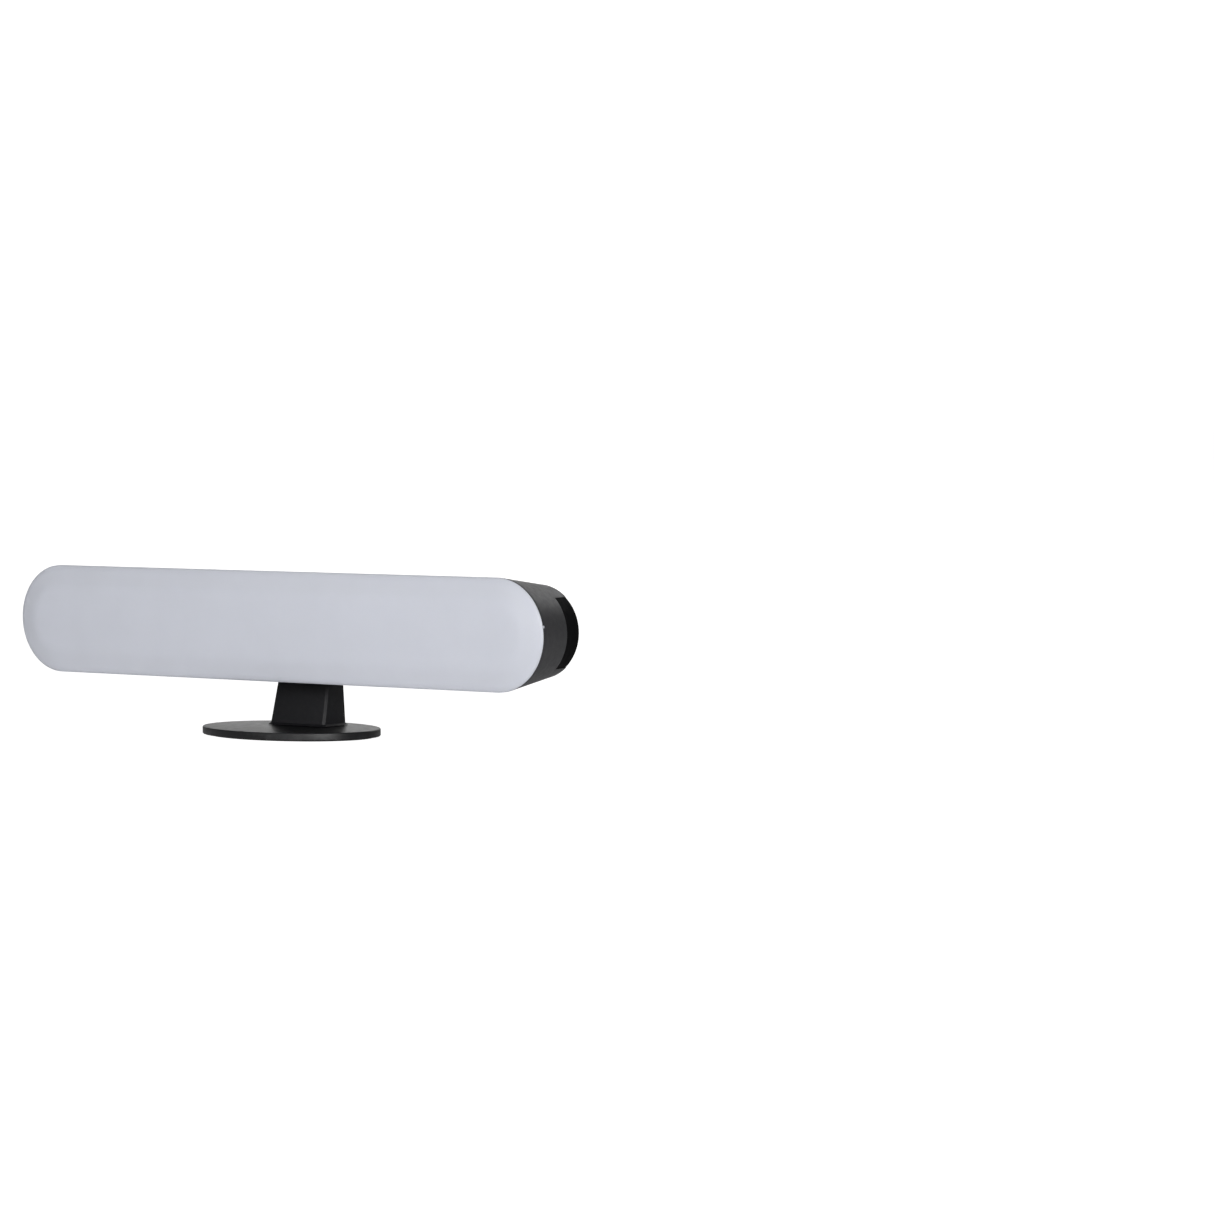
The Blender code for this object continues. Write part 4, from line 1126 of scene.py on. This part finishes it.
def passive(materials, x, z):
    """A ceramic resistor or capacitor with tinned ends."""
    length, width = PASSIVE_SIZE
    core = (length * PASSIVE_BODY[0], width * PASSIVE_BODY[1])
    ends = plate_part("passive_ends", x, z, length, width, 0.0, PASSIVE_TIN_HEIGHT, PASSIVE_TIN_EASE)
    body = plate_part("passive_body", x, z, *core, 0.0, PASSIVE_HEIGHT, PASSIVE_EASE)
    return [(ends, materials["tin"]), (body, materials["ceramic"])]


def bare_board(node, screws):
    """A board in its node's size, its front face on Y 0, with its screw holes."""
    size = size_of(node)
    half = size / 2
    holes = []
    for screw in named(screws):
        offset = middle(screw) - middle(node)
        holes.append(drum("board_hole", offset.x, offset.z, SMALL_HOLE, -CUT_OVER, size.y + CUT_OVER))
    panel = box(node, (-half.x, 0.0, -half.z), (half.x, size.y, half.z), BOARD_EASE)
    return cut(panel, holes)


def stand_board(node, parts):
    mesh = at_node(node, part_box(node)[0].y, merged(node, parts))
    stand_for(node, f"{node}_panel", mesh, "head")


def make_led_board(materials):
    """The light board, with solder pads beside each emitter and a small resistor between each pair."""
    parts = [(bare_board("led_board", "led_board_screw"), materials["board_white"])]
    places = [middle(node).x for node in emitters()]
    for x in places:
        for side in (-1, 1):
            pad_x = x + side * (LED_HALF_SIDE + PAD_WIDTH / 3)
            for row in (-1, 1):
                pad = plate_part("pad", pad_x, row * LED_LEG_ROW, PAD_WIDTH, PAD_HEIGHT, 0.0, PAD_RISE)
                parts.append((pad, materials["tin"]))
    low_row = -size_of("led_board").z * PASSIVE_ROW
    for x, after in zip(places, places[1:]):
        parts += passive(materials, (x + after) / 2, low_row)
    stand_board("led_board", parts)


# Parts on the control board that have no node of their own, as offsets (x, z) from the board's middle
CHIPS = ((-0.0160, 0.0045, 0.0050, 0.0050, 0.0010, 5), (-0.0070, -0.0058, 0.0044, 0.0036, 0.0014, 4))
PASSIVES = (
    (-0.0205, 0.0020), (-0.0205, 0.0000), (-0.0115, 0.0000), (-0.0035, 0.0095), (-0.0010, 0.0070),
    (-0.0010, 0.0045), (-0.0010, 0.0020), (0.0065, -0.0040), (0.0065, -0.0060), (0.0065, -0.0080),
    (0.0180, -0.0040), (0.0205, 0.0020), (0.0205, 0.0045), (-0.0020, 0.0000), (-0.0070, -0.0095),
)


def make_control_board(materials):
    parts = [(bare_board("control_board", "control_board_screw"), materials["board_green"])]
    for values in CHIPS:
        parts += chip(materials, *values)
    for x, z in PASSIVES:
        parts += passive(materials, x, z)
    stand_board("control_board", parts)


def stand_on_board(node, name, mesh, facing=Matrix()):
    """A part on the control board, its foot at the rear of its node's box."""
    stand_for(node, name, at_node(node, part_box(node)[1].y, mesh, facing), "head")


def aerial(size):
    """A track that folds back and forth beside the radio's can, as blocks."""
    x = -size.x / 2 + AERIAL_WIDTH
    pitch = size.z * AERIAL_SPAN / (AERIAL_RUNS - 1)
    rise = RADIO_CARRIER + PAD_RISE
    for i in range(AERIAL_RUNS):
        z = pitch * (i - (AERIAL_RUNS - 1) / 2)
        yield plate_part("aerial_run", x, z, AERIAL_WIDTH, AERIAL_TRACK, 0.0, rise)
        if i:
            side = x + (AERIAL_WIDTH - AERIAL_TRACK) / 2 * (1 if i % 2 else -1)
            yield plate_part("aerial_turn", side, z - pitch / 2, AERIAL_TRACK, pitch, 0.0, rise)


def make_radio_module(materials):
    """A small carrier with a tin can over its chip and a folded aerial track beside it."""
    size = size_of("radio_module")
    width = size.x * RADIO_CAN_WIDTH
    height = size.z - 2 * RADIO_MARGIN
    can_x = (size.x - width) / 2 - RADIO_MARGIN
    carrier = plate_part("carrier", 0.0, 0.0, size.x, size.z, 0.0, RADIO_CARRIER, BOARD_EASE)
    can = plate_part("can", can_x, 0.0, width, height, RADIO_CARRIER / 2, size.y, RADIO_CAN_EASE)
    parts = [(carrier, materials["board_green"]), (can, materials["shield"])]
    parts += [(track, materials["tin"]) for track in aerial(size)]
    stand_on_board("radio_module", "radio_module_can", merged("radio_module", parts))


def make_power_inductor(materials):
    """A square ferrite body with a round core face and tinned ends."""
    x, y, z = size_of("power_inductor")
    block = (x * FERRITE_WIDTH, z, FERRITE_LIFT, y * FERRITE_HEIGHT, FERRITE_EASE)
    body = plate_part("inductor", 0.0, 0.0, *block)
    core = drum("core", 0.0, 0.0, x * CORE_RADIUS, -y, -y * CORE_ROOT, steps=48)
    ends = plate_part("ends", 0.0, 0.0, x, z * CORE_TIN_HEIGHT, 0.0, y * CORE_TIN_RISE)
    mesh = merged("inductor", [(join(body, [core]), materials["ferrite"]), (ends, materials["tin"])])
    stand_on_board("power_inductor", "power_inductor_body", mesh)


def make_capacitor(materials):
    """A sleeved can with a waist near its foot, a rolled top edge and a scored metal top."""
    size = size_of("storage_capacitor")
    radius, height = size.x / 2, size.y
    sleeve = [(radius * share, rise) for share, rise in SLEEVE_FOOT]
    sleeve += [(radius * share, height - drop) for share, drop in SLEEVE_TOP]
    width, reach, half = radius * CAN_TOP_RADIUS, radius * SCORE_REACH, SCORE_HALF_WIDTH
    cap = lathe("cap", [(width, height - CAN_TOP_UNDER), (width, height - CAN_TOP_FACE)], steps=48)
    floor = height - SCORE_FLOOR
    scores = [box("score", (-x, -y, floor), (x, y, height)) for x, y in ((reach, half), (half, reach))]
    sleeve = lathe("sleeve", sleeve, steps=48)
    mesh = merged("capacitor", [(sleeve, materials["sleeve"]), (cut(cap, scores), materials["steel"])])
    stand_on_board("storage_capacitor", "storage_capacitor_can", mesh, FACE_FRONT)


def make_connector(node, ways, rearward, material):
    """A nylon wire housing: eased edges, a latch rib on each side, and an entry for each lead."""
    size = size_of(node)
    x, z = size.x / 2, size.z / 2
    width, half = x * CONNECTOR_WIDTH, size.z * LATCH_HALF
    body = box(node, (-width, 0.0, -z), (width, size.y, z), CONNECTOR_EASE)
    rib = box("rib", (-x, size.y * LATCH_START, -half), (x, size.y * LATCH_END, half), LATCH_EASE)
    depths = (size.y - LEAD_ENTRY, size.y + CUT_OVER) if rearward else (-CUT_OVER, LEAD_ENTRY)
    entries = []
    for i in range(ways):
        entry_z = LEAD_SPACING * (i - (ways - 1) / 2)
        entries.append(drum("entry", 0.0, entry_z, LEAD_ENTRY_RADIUS, *depths, steps=24))
    mesh = at_node(node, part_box(node)[0].y, cut(join(body, [rib]), entries))
    stand_for(node, f"{node}_body", mesh, "head", material)


def make_bar(materials):
    make_diffuser(materials["opal"])
    make_housing(materials["housing"])
    make_rear_cover(materials["cover"])
    make_power_inlet(materials["nylon_black"])
    make_inlet_pin(materials["steel"])
    make_reflector_tray(materials["tray"])
    make_leds(materials)
    make_led_board(materials)
    make_control_board(materials)
    make_radio_module(materials)
    make_power_inductor(materials)
    make_capacitor(materials)
    make_connector("power_connector", 2, False, materials["nylon"])
    make_connector("led_lead_plug", 3, False, materials["nylon"])
    make_connector("led_board_connector", 3, True, materials["nylon"])


# Pieces of the stand


def ellipse(inset, z):
    """The base's outline, drawn in by the inset, at a height."""
    ring = []
    for i in range(BASE_STEPS):
        angle = 2 * pi * i / BASE_STEPS
        x = (BASE_HIGH.x - inset) * cos(angle)
        ring.append((x, (BASE_HIGH.y - inset) * sin(angle), z))
    return ring


def column_screw_holes(low, high):
    """A hole for each of the column's screws, from one height to another."""
    holes = []
    for node in named("column_screw"):
        hole = lathe("column_hole", [(COLUMN_HOLE, low), (COLUMN_HOLE, high)])
        place = middle(node)
        hole.transform(Matrix.Translation((place.x, place.y, 0.0)))
        holes.append(hole)
    return holes


def make_base(material):
    """A low oval plate with a rounded top edge and a shallow pocket underneath."""
    under, top = BASE_LOW.z, BASE_HIGH.z
    rings = [
        ellipse(POCKET_INSET, POCKET_TOP),
        ellipse(POCKET_INSET, under),
        ellipse(BASE_CHAMFER, under),
        ellipse(0.0, under + BASE_CHAMFER),
    ]
    rings += [ellipse(inset, z) for inset, z in rear_corner(0.0, top, BASE_ROUND)]
    rings.append(ellipse(BASE_ROUND * 3, top))
    mesh = cut(skin("stand_base", rings), column_screw_holes(POCKET_TOP - CUT_OVER, top + CUT_OVER))
    stand_for("stand_base", "stand_base_plate", mesh, "stand", material)


def make_pad(material):
    """The foam pad under the base, its lower edge eased where it meets the desk."""
    low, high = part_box("base_pad")
    inset = POCKET_INSET + GAP
    rings = [ellipse(inset + reach, z) for reach, z in front_corner(0.0, low.z, PAD_ROUND)]
    rings.append(ellipse(inset, high.z))
    stand_for("base_pad", "base_pad_foam", skin("base_pad", rings), "stand", material)


def column_section(z):
    """Half width, front Y and rear Y of the column at a height."""
    along = (z - COLUMN_LOW.z) / (COLUMN_TOP - COLUMN_LOW.z)
    pairs = (COLUMN_HALF_WIDTHS, COLUMN_FRONTS, COLUMN_REARS)
    return [bottom + (top - bottom) * along for bottom, top in pairs]


def chamfered_corner(turn):
    """Points around one corner: a flat chamfer with a small round at each of its edges."""
    ease = COLUMN_CORNER_EASE
    back = ease * tan(pi / 8)
    far = COLUMN_CORNER - ease
    points = []
    for start, x, y in ((0, far, -back), (1, -back, far)):
        for step in range(COLUMN_CORNER_STEPS + 1):
            angle = pi / 4 * (start + step / COLUMN_CORNER_STEPS)
            points.append(Vector((x + ease * cos(angle), y + ease * sin(angle))))
    spin = Matrix.Rotation(turn, 2)
    return [spin @ point for point in points]


def column_ring(z, flare=0.0, slope=0.0):
    """A rectangle with chamfered corners at a height, tilted up towards the rear by the slope."""
    half_width, front, rear = column_section(z)
    x = half_width + flare - COLUMN_CORNER
    front_y = front - flare + COLUMN_CORNER
    rear_y = rear + flare - COLUMN_CORNER
    ring = []
    for corner, (cx, cy) in enumerate(((x, rear_y), (-x, rear_y), (-x, front_y), (x, front_y))):
        for point in chamfered_corner(pi / 2 * corner):
            y = cy + point.y
            ring.append((cx + point.x, y, z + slope * (y - front)))
    return ring


def make_column(material):
    """The column with a small flare at its foot and the tongue that the bar drops onto."""
    low = COLUMN_LOW.z
    rings = [column_ring(low, COLUMN_FLARE)]
    for angle in QUARTER_TURN:
        along = COLUMN_FLARE_EDGE + (1 - COLUMN_FLARE_EDGE) * sin(angle)
        rings.append(column_ring(low + COLUMN_FLARE_HEIGHT * along, COLUMN_FLARE * (1 - along)))
    rings.append(column_ring(COLUMN_TOP, slope=COLUMN_TOP_SLOPE))
    mesh = skin("stand_column", rings)
    low = (-TONGUE_HALF_WIDTH, TONGUE_FRONT_Y, COLUMN_TOP - TONGUE_ROOT)
    high = (TONGUE_HALF_WIDTH, TONGUE_REAR_Y, COLUMN_HIGH.z)
    mesh = join(mesh, [box("tongue", low, high, TONGUE_EASE)])
    mesh = cut(mesh, column_screw_holes(-CUT_OVER, COLUMN_HOLE_TOP))
    stand_for("stand_column", "stand_column_post", mesh, "stand", material, COLUMN_SHARP)


# Screws


def screw_mesh(shank, length, head, turn):
    """A cross-recessed screw: its head rises from Z 0, and its ridged shank hangs below."""
    pitch = shank * THREAD_PITCH
    start = shank - length
    ridges = int((length - shank) / pitch)
    root = shank * THREAD_ROOT
    profile = [(shank * SCREW_TIP, -length), (root, start)]
    for i in range(ridges):
        z = start + pitch * i
        profile += [(shank, z + pitch * THREAD_CREST), (root, z + pitch * THREAD_VALLEY)]
    profile += [(root, 0.0), (head - SCREW_EASE, 0.0)]
    profile += [(head, SCREW_EASE), (head, SCREW_HEAD * HEAD_SIDE)]
    for step in range(1, ROUND_STEPS + 1):
        angle = HEAD_CURVE * step / ROUND_STEPS
        radius = HEAD_FLAT + (1 - HEAD_FLAT) * cos(angle)
        rise = HEAD_SIDE + (1 - HEAD_SIDE) * sin(angle) / sin(HEAD_CURVE)
        profile.append((head * radius, SCREW_HEAD * rise))
    reach, half = head * RECESS_REACH, shank * RECESS_HALF_WIDTH
    floor, over = SCREW_HEAD - shank * RECESS_DEPTH, SCREW_HEAD + CUT_OVER
    recess = [box("recess", (-x, -y, floor), (x, y, over)) for x, y in ((reach, half), (half, reach))]
    mesh = cut(lathe("screw", profile, steps=40), recess)
    mesh.transform(Matrix.Rotation(turn, 4, "Z"))
    return mesh


def make_screw(node, body, facing, shank, turn, material):
    """A screw in its node's box, with its head's top at the end that it faces."""
    low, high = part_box(node)
    place = middle(node)
    if facing is FACE_DOWN:
        length, place.z = high.z - low.z, low.z + SCREW_HEAD
    else:
        length = high.y - low.y
        place.y = high.y - SCREW_HEAD if facing is FACE_REAR else low.y + SCREW_HEAD
    mesh = screw_mesh(shank, length - SCREW_HEAD, (high.x - low.x) / 2, turn)
    mesh.transform(Matrix.Translation(place) @ facing)
    stand_for(node, f"{node}_turned", mesh, body, material)


def make_screws(material):
    for text, body, facing, shank in (
        ("cover_screw", "head", FACE_REAR, SMALL_SHANK),
        ("tray_screw", "head", FACE_FRONT, SMALL_SHANK),
        ("led_board_screw", "head", FACE_FRONT, SMALL_SHANK),
        ("control_board_screw", "head", FACE_FRONT, SMALL_SHANK),
        ("column_screw", "stand", FACE_DOWN, COLUMN_SHANK),
    ):
        for i, node in enumerate(named(text)):
            make_screw(node, body, facing, shank, radians(SCREW_TURN * (i + 1)), material)


def finish_leads_and_ballast(materials):
    """The CAD nodes whose shapes stay."""
    finish_node("base_ballast", materials["steel"])
    finish_node("led_lead_supply", materials["wire_red"])
    finish_node("power_lead_positive", materials["wire_red"])
    finish_node("led_lead_ground", materials["wire_black"])
    finish_node("power_lead_negative", materials["wire_black"])
    finish_node("led_lead_data", materials["wire_white"])


# Stage

# Camera: its turns are in radians, and its lens and sensor in millimetres
CAMERA_PLACE = Vector((1.2038, -1.4331, 0.1585))
CAMERA_YAW = 0.6233
CAMERA_PITCH = 0.0547
CAMERA_ROLL = -0.006
LENS = 124.7
SENSOR = 36.0

# Floors: colour and glow of the one that the camera sees, and of the one below it that lights the object
FLOOR_RADIUS = 12.0
FLOOR_DROP = 0.0005
SEEN_FLOOR = ((0.30, 0.30, 0.30), 0.97)
BOUNCE_FLOOR = ((0.66, 0.66, 0.67), 0.085)
WORLD_GLOW = 0.18
SEEN_WORLD_GLOW = 1.2

# Each light's sides, as shares of its distance
LIGHT_SIZE = (0.6, 0.3)

# Lights: name, azimuth and elevation in degrees, distance in metres and power in watts. Azimuth 0 is in
# front of the bar, and 90 is beyond its +X end
LIGHTS = (
    ("key", 42, 12, 1.7, 16.5),
    ("key_top", 38, 35, 2.0, 1.0),
    ("front_fill", 0, 10, 0.5, 0.38),
    ("back", 180, 28, 2.0, 3.6),
    ("back_left_low", -140, 10, 2.0, 2.3),
    ("back_left_high", -140, 35, 2.0, 2.8),
)


def make_camera():
    camera = bpy.data.cameras.new("camera")
    camera.lens = LENS
    camera.sensor_width = SENSOR
    camera.clip_end = 100.0
    obj = link("camera", camera)
    level = cos(CAMERA_PITCH)
    rise = -sin(CAMERA_PITCH)
    forward = Vector((-level * sin(CAMERA_YAW), level * cos(CAMERA_YAW), rise))
    turn = forward.to_track_quat("-Z", "Y").to_matrix().to_4x4()
    obj.matrix_world = Matrix.Translation(CAMERA_PLACE) @ turn @ Matrix.Rotation(CAMERA_ROLL, 4, "Z")
    bpy.context.scene.camera = obj


def floor_disc(name, z, colour, glow):
    """A round floor that gives off some light of its own."""
    bm = bmesh.new()
    bmesh.ops.create_circle(bm, cap_ends=True, radius=FLOOR_RADIUS, segments=64)
    disc = link(name, mesh_from(bm, name))
    disc.location.z = z
    material, tree, shader = node_material(name, colour, 0.9)
    shader.inputs["Emission Color"].default_value = WHITE
    shader.inputs["Emission Strength"].default_value = glow
    rough_between(tree, shader, 0.85, 0.95, scale=40.0)
    disc.data.materials.append(material)
    return disc


def make_floor():
    """The white floor that the camera sees, over a dimmer one that throws light back at the object."""
    seen = floor_disc("floor", 0.0, *SEEN_FLOOR)
    seen.visible_diffuse = False
    seen.visible_glossy = False
    seen.visible_transmission = False
    seen.visible_shadow = False
    bounce = floor_disc("floor_bounce", -FLOOR_DROP, *BOUNCE_FLOOR)
    bounce.visible_camera = False


def make_world():
    """An even glow around the object. The camera sees a brighter one."""
    world = bpy.data.worlds.new("studio")
    bpy.context.scene.world = world
    world.use_nodes = True
    tree = world.node_tree
    background = tree.nodes["Background"]
    background.inputs["Color"].default_value = WHITE
    background.inputs["Strength"].default_value = WORLD_GLOW
    seen = add_node(tree, "ShaderNodeBackground", Color=WHITE, Strength=SEEN_WORLD_GLOW)
    path = add_node(tree, "ShaderNodeLightPath")
    mix = add_node(tree, "ShaderNodeMixShader")
    tree.links.new(path.outputs["Is Camera Ray"], mix.inputs["Fac"])
    tree.links.new(background.outputs["Background"], mix.inputs[1])
    tree.links.new(seen.outputs["Background"], mix.inputs[2])
    tree.links.new(mix.outputs["Shader"], tree.nodes["World Output"].inputs["Surface"])


def softbox(name, azimuth, elevation, distance, power):
    """A rectangular light aimed at the bar. Its size grows with its distance."""
    light = bpy.data.lights.new(name, "AREA")
    light.shape = "RECTANGLE"
    light.size, light.size_y = (size * distance for size in LIGHT_SIZE)
    light.energy = power
    obj = link(name, light)
    turn, rise = radians(azimuth), radians(elevation)
    away = Vector((sin(turn) * cos(rise), -cos(turn) * cos(rise), sin(rise)))
    obj.location = Vector((0.0, 0.0, BAR.z)) + away * distance
    obj.rotation_euler = (-away).to_track_quat("-Z", "Y").to_euler()
    obj.visible_camera = False


def make_stage():
    make_camera()
    make_floor()
    make_world()
    for values in LIGHTS:
        softbox(*values)
    bpy.context.scene.view_settings.view_transform = "Standard"


def main():
    materials = make_materials()
    make_bar(materials)
    make_base(materials["base"])
    make_pad(materials["foam"])
    make_column(materials["column"])
    make_screws(materials["steel"])
    finish_leads_and_ballast(materials)
    make_stage()


main()
